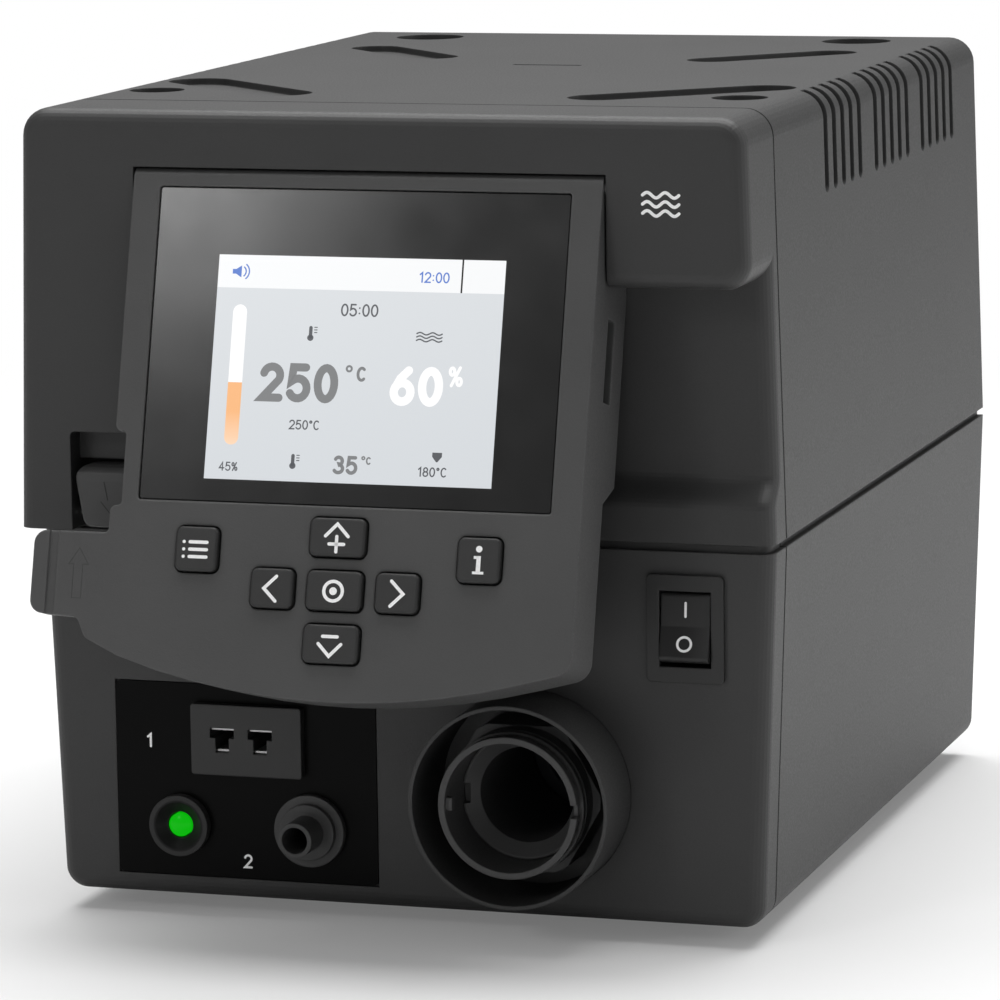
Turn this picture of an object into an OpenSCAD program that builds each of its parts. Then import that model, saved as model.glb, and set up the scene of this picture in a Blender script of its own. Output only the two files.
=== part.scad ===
// Hot-air rework control unit: moulded housing, flip-up console, hose port and its inner works.
// X runs to the right, Y to the back and Z up. Lengths are in millimetres, angles in degrees.
// The drawing's own Y is measured from the upper front face; placed() moves it to the row frame.

/* [Housing] */
// Width across the parting line, the widest place
body_w = 149; // [140:1:160]
// Depth from the upper front face to the rear edges
body_depth = 198; // [190:1:215]
// Height of the parting line above the floor
parting_z = 78; // [74:1:84]
// Height of the top above the parting line
upper_h = 82.75; // [80:0.25:90]
// Wall thickness of the mouldings
wall = 2.5; // [2:0.1:3]
// Draft of the upper sides
draft_up = 1.7; // [0.5:0.1:2.5]
// Draft of the lower sides
draft_low = 2; // [0.5:0.1:2.5]
// Radius of the long top edges
top_r = 5.5; // [4:0.5:8]
// Radius of the long bottom edges
bottom_r = 4.5; // [3:0.5:6]
// Height of the groove between the upper and lower mouldings
groove_h = 1.6; // [1:0.1:2.2]
// Depth of that groove
groove_d = 1.3; // [0.8:0.1:1.8]
// Gap between a front moulding and the shell behind it
seam_gap = 0.7; // [0.2:0.05:0.9]
// Depth of the front mouldings, from the upper face to the seam
bezel_d = 21; // [20:0.5:24]
// Set-back of the lower front panel behind the upper face
lower_set = 11.4; // [9:0.1:12]
// Fillet of the front edges
front_r = 3; // [2:0.25:5]

/* [Feet] */
// Height of the rubber feet
foot_h = 4; // [3:0.5:6]
// Radius of the rubber feet
foot_r = 7; // [5:0.5:8]
// Distance of the feet from the middle plane
foot_x = 50; // [45:1:55]
// Set-in of the feet from the seam and from the rear edges
foot_in = 17; // [14:1:25]

/* [Console] */
// Width of the console
console_w = 93.4; // [90:0.1:95]
// Offset of the console's middle from the body's middle
console_x = -1.6; // [-4:0.1:-1]
// Height of the console's top edge above the parting line
console_rise = 71.5; // [70:0.5:72]
// Lean of the console's face from the vertical
console_tilt = 15.4; // [12:0.2:17]
// Slope length to the lower corners
console_len = 92.4; // [90:0.2:95]
// Drop of the bowed lower edge below the corners
console_bow = 8; // [5:0.5:10]
// Depth of the console's lower part, square to its face
console_d = 13.6; // [13:0.2:14.5]
// Depth of the console's upper part, square to its face
console_deep = 20.7; // [19:0.2:21]
// Slope length of the deep upper part
console_step = 56; // [54:0.5:58]
// Slope length of the ramp between the deep part and the flat one
console_ramp = 3.8; // [3:0.2:5]
// Radius of the rolled top edge, round the pivot
pivot_r = 2.4; // [2.2:0.1:3]
// Gap between the console and the housing round it
bay_gap = 0.4; // [0.3:0.05:0.6]
// Wall of the console mouldings
console_wall = 2; // [1.6:0.1:2.4]

/* [Display] */
// Width of the cover glass
glass_w = 81.6; // [80:0.1:83]
// Height of the cover glass
glass_h = 59.8; // [58:0.1:60.5]
// Slope distance from the console's top to the glass
glass_top = 3.4; // [3.2:0.1:4]
// Thickness of the cover glass
glass_t = 1.4; // [1:0.1:2]
// Depth of the glass below the console's face
glass_sink = 0.35; // [0.2:0.05:0.6]
// Gap round the glass
glass_gap = 0.25; // [0.15:0.05:0.4]
// Width of the picture area
lcd_w = 57; // [56:0.1:58]
// Height of the picture area
lcd_h = 42.8; // [42:0.1:44]
// Slope distance from the console's top to the picture area
lcd_top = 16.2; // [15:0.1:17]

/* [Keys] */
// Rounding of a key's upper edge
key_soft = 0.5; // [0.3:0.1:0.7]
// Height of a key above the console's face
key_up = 1.2; // [0.8:0.1:1.6]
// Travel of a key
key_travel = 0.8; // [0.5:0.1:1]
// Gap round a key
key_gap = 0.35; // [0.3:0.05:0.5]
// Corner radius of a key
key_r = 1.3; // [1:0.1:2]
// Side distance of the left and right keys
key_dx = 12.4; // [11.5:0.1:13]
// Slope distance between the rows of the cross
key_ds = 10.05; // [9.6:0.05:10.3]
// Side distance of the two outer keys
key_outer = 28; // [27:0.1:30]

/* [Hose port] */
// Sideways place of the hose port
port_x = 26.1; // [25:0.1:28]
// Height of the hose port's centre above the floor
port_z = 29.1; // [29:0.1:31]
// Outer radius of the thin collar
collar_r = 19.9; // [18.5:0.1:20]
// Wall of the thin collar
collar_wall = 0.8; // [0.7:0.1:1.2]
// Reach of the collar in front of the lower panel
collar_out = 16; // [12:0.5:18]
// Inner radius of the hose socket
socket_r = 12.6; // [12:0.1:13]
// Wall of the hose socket
socket_wall = 1.25; // [1:0.05:1.6]
// Radius of the air bore
bore_r = 9.4; // [9:0.1:10.5]

/* [Connector plate] */
// Left edge of the connector plate
plate_x = -59.6; // [-61:0.1:-58]
// Width of the connector plate
plate_w = 54.1; // [53:0.1:55]
// Lower edge of the connector plate above the floor
plate_z = 8.3; // [8:0.1:10]
// Height of the connector plate
plate_h = 38.8; // [38:0.1:40]
// Thickness of the connector plate
plate_t = 0.8; // [0.5:0.1:1]
// Radius of the suction tube's outside
nozzle_r = 3.5; // [3:0.1:3.8]
// Radius of the suction bore
nozzle_bore = 2.6; // [2:0.1:2.8]
// Reach of the suction tube in front of the panel
nozzle_out = 10; // [8:0.5:12]
// Radius of the indicator's ring
ring_r = 6.1; // [5.5:0.1:6.5]

/* [Switch] */
// Width of the switch frame
switch_w = 15.2; // [15:0.1:16]
// Height of the switch frame
switch_h = 20.9; // [20.5:0.1:21.5]
// Sideways place of the switch
switch_x = 57.3; // [56:0.1:58]
// Height of the switch's centre above the floor
switch_z = 62.4; // [61:0.1:63]
// Lean of the rocker from its middle position
rocker_lean = 11; // [9:0.5:12]

/* [Vents and top] */
// Width of a vent slot
vent_w = 3.2; // [2:0.1:3.6]
// Distance from one vent slot to the next
vent_pitch = 7; // [6.5:0.1:7.2]
// First vent slot behind the upper front face
vent_y = 62; // [58:1:66]
// Distance from one group of vents to the next
vent_group = 42; // [40:1:43]
// Height of a vent slot on the side
vent_drop = 20; // [15:1:25]
// Depth of the long stacking recesses
recess_d = 1.3; // [1:0.1:2.5]

/* [Clearances] */
// Radial clearance of a running pin
run_gap = 0.05; // [0.02:0.01:0.09]
// Gap between a seated piece and its cut-out
fit_gap = 0.15; // [0.1:0.05:0.25]

/* [Hidden] */
$fn = 48;
eps = 0.01;
corner_steps = 8;

top_z = parting_z + upper_h;
seam_y = bezel_d;
shell_y = seam_y + seam_gap;
upper_z = parting_z + groove_h / 2;
lower_z = parting_z - groove_h / 2;
console_top_z = parting_z + console_rise;
console_l = console_x - console_w / 2;
console_r = console_x + console_w / 2;
jack_out = 8;
rear_set = 2.5;
rear_t = 2;
rear_face = body_depth - rear_set;
rear_in = rear_face - rear_t;
console_reach = (console_len + console_bow) * sin(console_tilt);
face_y = (console_reach - (rear_face + jack_out)) / 2;

// Half width of the outside at height z: the two draft lines, and the one that holds at z
function line_up(z) = body_w / 2 - (z - parting_z) * tan(draft_up);
function line_low(z) = body_w / 2 - (parting_z - z) * tan(draft_low);
function side_x(z) = z > parting_z ? line_up(z) : line_low(z);
function unit(v) = v / norm(v);
// Points of a round corner of radius r at p, between its neighbours a and b
function corner(a, p, b, r) = r <= 0 ? [p] :
    let (u = unit(a - p), v = unit(b - p), half = acos(u * v) / 2,
        c = p + unit(u + v) * r / sin(half), s = p + u * r / tan(half) - c,
        e = p + v * r / tan(half) - c, a0 = atan2(s[1], s[0]),
        turn = (cross(s, e) > 0 ? 1 : -1) * (180 - 2 * half))
    [for (i = [0:corner_steps]) let (g = a0 + turn * i / corner_steps) c + r * [cos(g), sin(g)]];
// A closed outline with its corners rounded, radii given one for each point
function rounded(p, r) = let (n = len(p))
    [for (i = [0:n - 1]) each corner(p[(i + n - 1) % n], p[i], p[(i + 1) % n], is_list(r) ? r[i] : r)];
// Left or right limit of a block: a fixed x, or the drafted side where v is undef; moved in by inset
function limit_x(v, z, side, inset) = is_undef(v)
    ? side * (side_x(z) - inset / cos(z > parting_z ? draft_up : draft_low)) : v - side * inset;
// Front outline of a block, from the lower left corner round; ins gives the inset of each side: left, right, bottom, top
function block(l, r, b, t, radii, ins) = rounded([
    [limit_x(l, b + ins[2], -1, ins[0]), b + ins[2]], [limit_x(r, b + ins[2], 1, ins[1]), b + ins[2]],
    [limit_x(r, t - ins[3], 1, ins[1]), t - ins[3]], [limit_x(l, t - ins[3], -1, ins[0]), t - ins[3]]],
    [for (q = radii) q > 0 ? q - max(ins) : 0]);

// Moves the drawing so that the part's box is centred over the origin
module placed() translate([0, face_y, 0]) children();
// An X-Z outline carried along Y
module along_y(y0, y1, points) translate([0, y1, 0]) rotate([90, 0, 0]) linear_extrude(y1 - y0) polygon(points);
// A Y-Z outline carried along X
module along_x(x0, x1, points) translate([x0, 0, 0]) rotate([90, 0, 90]) linear_extrude(x1 - x0) polygon(points);
// A box from its low to its high corner
module box(a, b) translate(a) cube(b - a);
// A round bar or hole along Y
module rod_y(x, z, y0, y1, r) translate([x, y1, z]) rotate([90, 0, 0]) cylinder(h = y1 - y0, r = r);
// A ring along Y
module ring_y(x, z, y0, y1, r1, r0) difference() {
    rod_y(x, z, y0, y1, r1);
    rod_y(x, z, y0 - 1, y1 + 1, r0);
}
// A round bar along Z
module rod_z(x, y, z0, z1, r) translate([x, y, z0]) cylinder(h = z1 - z0, r = r);
// A round bar along X
module rod_x(y, z, x0, x1, r) translate([x0, y, z]) rotate([0, 90, 0]) cylinder(h = x1 - x0, r = r);
// A block with filleted front edges on the sides that soft marks with 1: left, right, bottom, top
module soft_block(l, r, b, t, y0, y1, fillet, radii, soft) {
    rings = [for (k = [0:7]) let (a = min(15 * k, 90), y = k == 7 ? y1 : y0 + fillet * (1 - cos(a)))
        [for (q = block(l, r, b, t, radii, soft * fillet * (1 - sin(a)))) [q[0], y, q[1]]]];
    n = len(rings[0]);
    polyhedron([for (g = rings) each g], concat([[for (i = [n - 1:-1:0]) i]], [[for (i = [0:n - 1]) 7 * n + i]],
        [for (k = [0:6], i = [0:n - 1]) [k * n + i, k * n + (i + 1) % n, (k + 1) * n + (i + 1) % n, (k + 1) * n + i]]));
}
// The console's own frame: x across, y up the slope from its top edge, z out of its face
module on_console() translate([0, 0, console_top_z]) rotate([90 - console_tilt, 0, 0]) children();
// An outline given round anticlockwise, moved in by d
function moved_in(p, d) = let (n = len(p)) [for (i = [0:n - 1]) let (u = unit(p[i] - p[(i + n - 1) % n]), v = unit(p[(i + 1) % n] - p[i]))
    p[i] + d * [-u[1] - v[1], u[0] + v[0]] / (1 + u * v)];
// A plate from height z0 to z1 whose upper edge is rounded by f
module soft_plate(z0, z1, p, f) {
    rings = [for (k = [0:5]) let (a = 22.5 * min(k, 4), z = k == 5 ? z0 : z1 - f * (1 - cos(a)))
        [for (q = moved_in(p, f * (1 - sin(a)))) [q[0], q[1], z]]];
    n = len(p);
    polyhedron([for (g = rings) each g], concat([[for (i = [n - 1:-1:0]) i]], [[for (i = [0:n - 1]) 5 * n + i]],
        [for (k = [0:4], i = [0:n - 1]) [k * n + i, k * n + (i + 1) % n, (k + 1) * n + (i + 1) % n, (k + 1) * n + i]]));
}
// A plate in the console's frame, from depth d0 to d1 below its face
module console_plate(d0, d1, points) translate([0, 0, -d1]) linear_extrude(d1 - d0) polygon(points);
// A rounded rectangle: centre x, slope distance of its centre, width, height, radius
function pad(x, s, w, h, r) = rounded([[x - w / 2, -s - h / 2], [x + w / 2, -s - h / 2],
    [x + w / 2, -s + h / 2], [x - w / 2, -s + h / 2]], r);

// Housing
boss_x = body_w / 2 - 12;
boss_front = 50;
boss_rear = body_depth - 22;
boss_r = 4;
screw_r = 1.5;
bosses = [for (x = [-boss_x, boss_x], y = [boss_front, boss_rear]) [x, y]];
tongue_t = 1.2;
rib_t = 2;
rib_h = 3;
function upper_outline(inset, foot) = rounded([[-line_up(foot) + inset, foot], [line_up(foot) - inset, foot],
    [side_x(top_z) - inset, top_z - inset], [-side_x(top_z) + inset, top_z - inset]],
    [0, 0, top_r - inset, top_r - inset]);
function lower_outline(inset, head) = rounded([[-line_low(foot_h) + inset, foot_h + inset],
    [line_low(foot_h) - inset, foot_h + inset], [line_low(head) - inset, head], [-line_low(head) + inset, head]],
    [bottom_r - inset, bottom_r - inset, 0, 0]);
rear_holes = [for (s = [-1, 1], z = [foot_h + 8, top_z - 10]) [s * (side_x(z) - 7.3), z]];
module rear_boss(p) {
    rod_y(p[0], p[1], rear_in - 10, rear_in - fit_gap, boss_r);
    reach = sign(p[0]) * (side_x(p[1]) - 1.3);
    box([min(p[0], reach), rear_in - 10, p[1] - 1.5], [max(p[0], reach), rear_in - fit_gap, p[1] + 1.5]);
}
module mirrored() {
    children();
    mirror([1, 0, 0]) children();
}
module lower_case() color("#333435") {
    difference() {
        union() {
            along_y(shell_y, body_depth, lower_outline(0, lower_z));
            along_y(shell_y, body_depth, lower_outline(groove_d, upper_z - fit_gap));
        }
        difference() {
            along_y(shell_y - 1, body_depth + 1, lower_outline(wall, parting_z + 10));
            along_y(rear_in - rib_t - fit_gap, rear_in - fit_gap, lower_outline(wall / 2, parting_z + 10));
        }
        along_y(rear_in - rib_t - 1, rear_in + 1, lower_outline(wall + rib_h, parting_z + 10));
        for (p = bosses) rod_z(p[0], p[1], foot_h - 1, foot_h + 2, screw_r * 2.2);
        for (p = bosses) rod_z(p[0], p[1], foot_h, foot_h + 8, screw_r + fit_gap);
    }
    for (p = bosses) difference() {
        rod_z(p[0], p[1], foot_h + 2, lower_z - 8, boss_r);
        rod_z(p[0], p[1], foot_h, lower_z, screw_r + fit_gap);
        rod_z(p[0], p[1], foot_h - 1, foot_h + 2 + eps, screw_r * 2.2);
    }
    for (p = rear_holes) if (p[1] < parting_z) difference() {
        rear_boss(p);
        rod_y(p[0], p[1], rear_in - 9, rear_in + 1, screw_r - fit_gap);
    }
    for (x = [-stand_x, stand_x], y = [stand_front, stand_rear]) difference() {
        rod_z(x, y, foot_h + wall / 2, chassis_z, 4);
        rod_z(x, y, foot_h + wall, chassis_z + 1, 1.2);
    }
}
groups = [0:2];
recess_rear = [[31, 131], [51, 153]];
recess_front = [[33, 40], [59, 65]];
// A slot's outline from p to q
function stadium(p, q, r) = let (a = atan2(q[1] - p[1], q[0] - p[0])) concat(
    [for (i = [0:16]) p + r * [cos(a + 90 + i * 11.25), sin(a + 90 + i * 11.25)]],
    [for (i = [0:16]) q + r * [cos(a - 90 + i * 11.25), sin(a - 90 + i * 11.25)]]);
module recess_plan(grow) {
    polygon(stadium(recess_front[0], recess_front[1], 6.5 + grow));
    polygon(stadium(recess_rear[0], recess_rear[1], 5.5 + grow));
    translate([49, 184.5]) circle(7.5 + grow);
}
// Deeper round recess beside the front slot
dimple = [60, 43];
dimple_r = 5.5;
dimple_d = 2.4;
module top_cover() color("#37383a") difference() {
    union() {
        difference() {
            along_y(shell_y, body_depth, upper_outline(0, upper_z));
            difference() {
                along_y(shell_y - 1, body_depth + 1, upper_outline(wall, parting_z - 10));
                along_y(rear_in - rib_t - fit_gap, rear_in - fit_gap, upper_outline(wall / 2, parting_z - 10));
            }
            along_y(rear_in - rib_t - 1, rear_in + 1, upper_outline(wall + rib_h, parting_z - 10));
        }
        mirrored() rod_z(dimple[0], dimple[1], top_z - dimple_d - wall, top_z - wall / 2, dimple_r + wall / 2);
        mirrored() intersection() {
            translate([0, 0, top_z - recess_d - wall]) linear_extrude(recess_d + wall / 2) recess_plan(wall);
            along_y(shell_y, rear_in - fit_gap - rib_t / 2, upper_outline(wall / 2, parting_z));
        }
        for (p = bosses) rod_z(p[0], p[1], lower_z - 8 + fit_gap, top_z - wall / 2, boss_r);
        for (p = rear_holes) if (p[1] > parting_z) rear_boss(p);
    }
    for (p = rear_holes) rod_y(p[0], p[1], rear_in - 9, rear_in + 1, screw_r - fit_gap);
    mirrored() translate([0, 0, top_z - recess_d]) linear_extrude(recess_d + 1) recess_plan(0);
    mirrored() rod_z(dimple[0], dimple[1], top_z - dimple_d, top_z + 1, dimple_r);
    translate([-7.4, 112.5, top_z - 1.2]) cube([14.8, 1.6, 3]);
    for (p = bosses) rod_z(p[0], p[1], lower_z - 8, lower_z + 12, screw_r - fit_gap);
    mirrored() for (g = groups, k = [0:4]) let (y = vent_y + g * vent_group + k * vent_pitch, x = side_x(top_z) - top_r + 1)
        along_x(x, x + 20, stadium([y, top_z - vent_drop + vent_w / 2], [y, top_z + 10], vent_w / 2));
}
// Drop of the label block, depth of the bay beside it, and the catch's pocket
block_drop = 32.25;
scoop_y = 15.5;
label_z = top_z - block_drop;
pocket_l = -63.2;
pocket_top = parting_z + 20.2;
pocket_d = 12;
pocket_in = 5;
latch_top = upper_z + 12.6;
bay_l = console_l - bay_gap;
bay_r = console_r + bay_gap;
ramp_z = upper_z + 6.8;
ramp_h = 6;
core_l = side_x(upper_z) - wall;
core_h = side_x(top_z) - wall;
// Front of the panel below and behind the console at height z: it eases back into the bay
function bay_front(z) = let (u = min(max((z - ramp_z) / ramp_h, 0), 1)) lower_set + (scoop_y - lower_set) * u * u * (3 - 2 * u);
// The panel as a loft of plan slices, with its right edge filleted all the way up
module bay_panel(z0, z1) {
    levels = concat([z0], [for (k = [0:8]) ramp_z + k * ramp_h / 8], [z1]);
    rings = [for (z = levels) let (x = side_x(z), y = bay_front(z)) concat([[bay_l - 3, seam_y, z], [bay_l - 3, y, z]],
        [for (a = [0:15:90]) [x - front_r + front_r * sin(a), y + front_r - front_r * cos(a), z]], [[x, seam_y, z]])];
    n = len(rings[0]);
    m = len(rings);
    polyhedron([for (g = rings) each g], concat([[for (i = [0:n - 1]) i]], [[for (i = [n - 1:-1:0]) (m - 1) * n + i]],
        [for (k = [0:m - 2], i = [0:n - 1], t = [0, 1]) let (j = (i + 1) % n)
            t == 0 ? [k * n + i, (k + 1) * n + i, (k + 1) * n + j] : [k * n + i, (k + 1) * n + j, k * n + j]]));
}
module upper_bezel() color("#37383a") difference() {
    union() {
        difference() {
            soft_block(undef, bay_r, upper_z, top_z, 0, seam_y, front_r, [0, 0, 0, top_r], [1, 0, 0, 1]);
            box([bay_l, -1, upper_z - 1], [bay_r + 1, seam_y + 1, scoop_top]);
        }
        soft_block(bay_r, undef, label_z, top_z, 0, seam_y, front_r, [0, 5, top_r, 0], [0, 1, 1, 1]);
        bay_panel(upper_z, label_z + 6);
        box([bay_l - 3, scoop_y, label_z], [bay_r + 3, seam_y, scoop_top + 3]);
    }
    // Hollow behind the left block, the top strip and the label block
    along_y(wall, seam_y + 1, [[-core_l, upper_z + wall], [pocket_l - wall, upper_z + wall], [pocket_l - wall, pocket_top + wall],
        [bay_l - wall, pocket_top + wall], [bay_l - wall, scoop_top + wall], [bay_r + wall, scoop_top + wall], [bay_r + wall, label_z + wall],
        [core_h - 1, label_z + wall], [core_h, label_z + wall + 2], [core_h - 1, top_z - wall - 1], [core_h - 2, top_z - wall],
        [2 - core_h, top_z - wall], [-core_h, top_z - wall - 2]]);
    // Hollow behind the bay, the pocket and the strip below the bay
    box([bay_l - wall - 1.2, scoop_y + wall, upper_z + wall + 0.7], [core_h - 0.8, seam_y + 1, scoop_top + wall + 0.6]);
    box([pocket_l - wall - 1, pocket_d + wall, upper_z + wall + 0.3], [bay_l - wall + 0.4, seam_y + 1, pocket_top + wall + 1]);
    box([bay_l + 5, lower_set + wall + 0.2, upper_z + wall + 0.5], [core_h - 2.5, seam_y + 1, ramp_z - 1.6]);
    // The catch's pocket, open below and towards the console, shallow above the catch
    along_y(-1, pocket_d, [[pocket_l, upper_z - 2], [bay_l + 2, upper_z - 2], [bay_l + 2, latch_top + 0.9], [pocket_l, latch_top + 0.9]]);
    along_y(-1, pocket_in, rounded([[pocket_l, upper_z - 3], [bay_l + 3, upper_z - 3], [bay_l + 3, pocket_top], [pocket_l, pocket_top]], [0, 0, 0, 1]));
    rod_x(latch_y, latch_z, pocket_l - wall, bay_l, latch_pin_r + fit_gap / 5);
    // Seats of the pivot pins
    rod_x(pivot_y, pivot_z, console_l - pin_in, console_r + pin_in, pin_r + fit_gap / 5);
}
scoop_top = console_top_z + bay_gap;
pin_r = 1.2;
pin_in = 2.2;
pivot_z = scoop_top - 0.25 - pivot_r;
pivot_y = (pivot_r + (pivot_z - console_top_z) * sin(console_tilt)) / cos(console_tilt);
// Plan of the tongue that backs the groove across the front
function tongue_plan(inset) = let (x = side_x(parting_z) - inset, y = lower_set + inset, r = front_r + groove_d - inset)
    rounded([[-x, y], [x, y], [x, seam_y + inset - groove_d], [-x, seam_y + inset - groove_d]], [r, r, 0, 0]);
module lower_front() color("#37383a") difference() {
    union() {
        soft_block(undef, undef, foot_h, lower_z, lower_set, seam_y, front_r, [bottom_r, bottom_r, 0, 0], [1, 1, 1, 0]);
        translate([0, 0, lower_z - 1]) linear_extrude(1 + groove_h - fit_gap) difference() {
            polygon(tongue_plan(groove_d));
            polygon(tongue_plan(groove_d + tongue_t));
        }
    }
    along_y(lower_set + wall, seam_y + 1, lower_outline(wall, lower_z - 2));
    box([plate_x - fit_gap, lower_set - 1, plate_z - fit_gap], [plate_x + plate_w + fit_gap, lower_set + plate_t, plate_z + plate_h + fit_gap]);
    box([tc_x, lower_set - 1, tc_z - 6 - fit_gap], [tc_x + tc_w, lower_set + wall + 1, tc_z + 6 + fit_gap]);
    rod_y(ring_x, ring_z, lower_set - 1, seam_y, 4.2 + fit_gap);
    rod_y(nozzle_x, nozzle_z, lower_set - 1, seam_y, nozzle_stem + fit_gap);
    rod_y(port_x, port_z, lower_set - 1, seam_y, collar_r + fit_gap / 3);
    box([switch_x - switch_w / 2 + 1.2, lower_set - 1, switch_z - switch_h / 2 + 1], [switch_x + switch_w / 2 - 1.2, seam_y, switch_z + switch_h / 2 - 1]);
}
module rear_panel() color("#2c2d2f") difference() {
    union() {
        along_y(rear_in, rear_face, rounded([
            [-side_x(foot_h) + wall + fit_gap, foot_h + wall + fit_gap], [side_x(foot_h) - wall - fit_gap, foot_h + wall + fit_gap],
            [side_x(parting_z) - wall - fit_gap, parting_z], [side_x(top_z) - wall - fit_gap, top_z - wall - fit_gap],
            [-side_x(top_z) + wall + fit_gap, top_z - wall - fit_gap], [-side_x(parting_z) + wall + fit_gap, parting_z]],
            [2, 2, 0, 3, 3, 0]));
    }
    for (p = rear_holes) rod_y(p[0], p[1], rear_in - 1, rear_face + 1, screw_r + fit_gap);
    // Fan grille: bars left between straight slots inside a circle
    intersection() {
        rod_y(fan_x, fan_z, rear_in - 1, rear_face + 1, fan_size / 2 - 4);
        for (k = [-4:4]) box([fan_x + k * 6 - 2, rear_in - 1, fan_z - fan_size / 2], [fan_x + k * 6 + 2, rear_face + 1, fan_z + fan_size / 2]);
    }
    box([inlet_x - inlet_w / 2 - fit_gap, rear_in - 1, inlet_z - inlet_h / 2 - fit_gap], [inlet_x + inlet_w / 2 + fit_gap, rear_face + 1, inlet_z + inlet_h / 2 + fit_gap]);
    rod_y(jack_x, jack_z, rear_in - 1, rear_face + 1, 4 + fit_gap);
    for (x = data_xs) box([x - 7.5, rear_in - 1, data_z - 7], [x + 7.5, rear_face + 1, data_z + 7]);
}
feet_at = [for (s = [-1, 1], y = [seam_y + foot_in, body_depth - foot_in]) [s * foot_x, y]];
module feet() color("#151515") for (p = feet_at) difference() {
    union() {
        rod_z(p[0], p[1], 0, foot_h, foot_r);
        rod_z(p[0], p[1], foot_h - 1, foot_h, foot_r + 0.6);
    }
    rod_z(p[0], p[1], -1, 1.5, foot_r - 3);
}
module case_screws() color("#9a9a9a") for (p = bosses) difference() {
    union() {
        rod_z(p[0], p[1], foot_h + 0.2, foot_h + 2, screw_r * 2);
        rod_z(p[0], p[1], foot_h + 2, lower_z + 8, screw_r - fit_gap * 1.1);
    }
    translate([p[0], p[1], foot_h - 1]) cylinder(h = 2.2, r = screw_r, $fn = 6);
}
module rear_screws() color("#9a9a9a") for (p = rear_holes) difference() {
    union() {
        rod_y(p[0], p[1], rear_face, rear_face + 1.8, screw_r * 1.9);
        rod_y(p[0], p[1], rear_in - 8, rear_face, screw_r - fit_gap * 1.1);
    }
    translate([p[0], rear_face + 2.6, p[1]]) rotate([90, 0, 0]) cylinder(h = 2, r = screw_r, $fn = 6);
}

// Connector plate and what it carries
tc_x = -43.1;
tc_w = 22.6;
tc_z = 36.35;
tc_h = 14.1;
tc_out = 2;
ring_x = -46.4;
ring_z = 18.6;
ring_out = 2;
lens_r = 2.35;
nozzle_x = -19.2;
nozzle_z = 18.9;
nozzle_stem = 4.2;
slot_pitch = 7.9;
slot_x = tc_x + tc_w / 2 - 1;
plate_y = lower_set + plate_t;
module connector_plate() color("#0a0a0b") difference() {
    along_y(lower_set, plate_y, rounded([[plate_x, plate_z], [plate_x + plate_w, plate_z],
        [plate_x + plate_w, plate_z + plate_h], [plate_x, plate_z + plate_h]], 1.2));
    box([tc_x, 0, tc_z - 6 - fit_gap], [tc_x + tc_w, seam_y, tc_z + 6 + fit_gap]);
    rod_y(ring_x, ring_z, 0, seam_y, 4.2 + fit_gap);
    rod_y(nozzle_x, nozzle_z, 0, seam_y, nozzle_stem + fit_gap);
}
module slot_cut(x, y0, y1) {
    box([x - 2.5, y0, tc_z + 0.4], [x + 2.5, y1, tc_z + 2.4]);
    box([x - 1.4, y0, tc_z - 2.5], [x + 1.4, y1, tc_z + 0.5]);
}
module tc_socket() color("#3d3e40") difference() {
    union() {
        along_y(lower_set - tc_out, lower_set, rounded([[tc_x - fit_gap, tc_z - tc_h / 2], [tc_x + tc_w + fit_gap, tc_z - tc_h / 2],
            [tc_x + tc_w + fit_gap, tc_z + tc_h / 2], [tc_x - fit_gap, tc_z + tc_h / 2]], 0.6));
        box([tc_x + fit_gap, lower_set - eps, tc_z - 6], [tc_x + tc_w - fit_gap, lower_set + 15, tc_z + 6]);
    }
    for (s = [-1, 1]) slot_cut(slot_x + s * slot_pitch / 2, 0, lower_set + 12);
}
module tc_contacts() color("#b9babc") for (s = [-1, 1]) let (x = slot_x + s * slot_pitch / 2) {
    box([x - 1.3, lower_set - 1.2, tc_z - 2.4], [x + 1.3, lower_set + 12, tc_z - 1.9]);
    box([x - 2.4, lower_set - 1.2, tc_z + 1.9], [x + 2.4, lower_set + 12, tc_z + 2.4]);
    box([x - 1, lower_set + 11, tc_z - 2.4], [x + 1, lower_set + 12, tc_z + 2.4]);
}
module indicator_ring() color("#1d1d1f") difference() {
    union() {
        rod_y(ring_x, ring_z, lower_set - ring_out, lower_set, ring_r);
        rod_y(ring_x, ring_z, lower_set - eps, lower_set + 10, 4.2);
        rod_y(ring_x, ring_z, lower_set + wall + fit_gap, lower_set + wall + 3, 6);
    }
    rod_y(ring_x, ring_z, lower_set - 0.6, lower_set + 11, lens_r + 0.3);
    translate([ring_x, lower_set - 0.6, ring_z]) rotate([90, 0, 0]) cylinder(h = 2, r1 = lens_r + 0.5, r2 = ring_r - 0.5);
}
module indicator_lens() color("#19c227") {
    rod_y(ring_x, ring_z, lower_set - 0.7, lower_set + 8, lens_r);
    intersection() {
        translate([ring_x, lower_set + 2.6, ring_z]) sphere(4.1);
        rod_y(ring_x, ring_z, lower_set - 4, lower_set, lens_r);
    }
}
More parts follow.
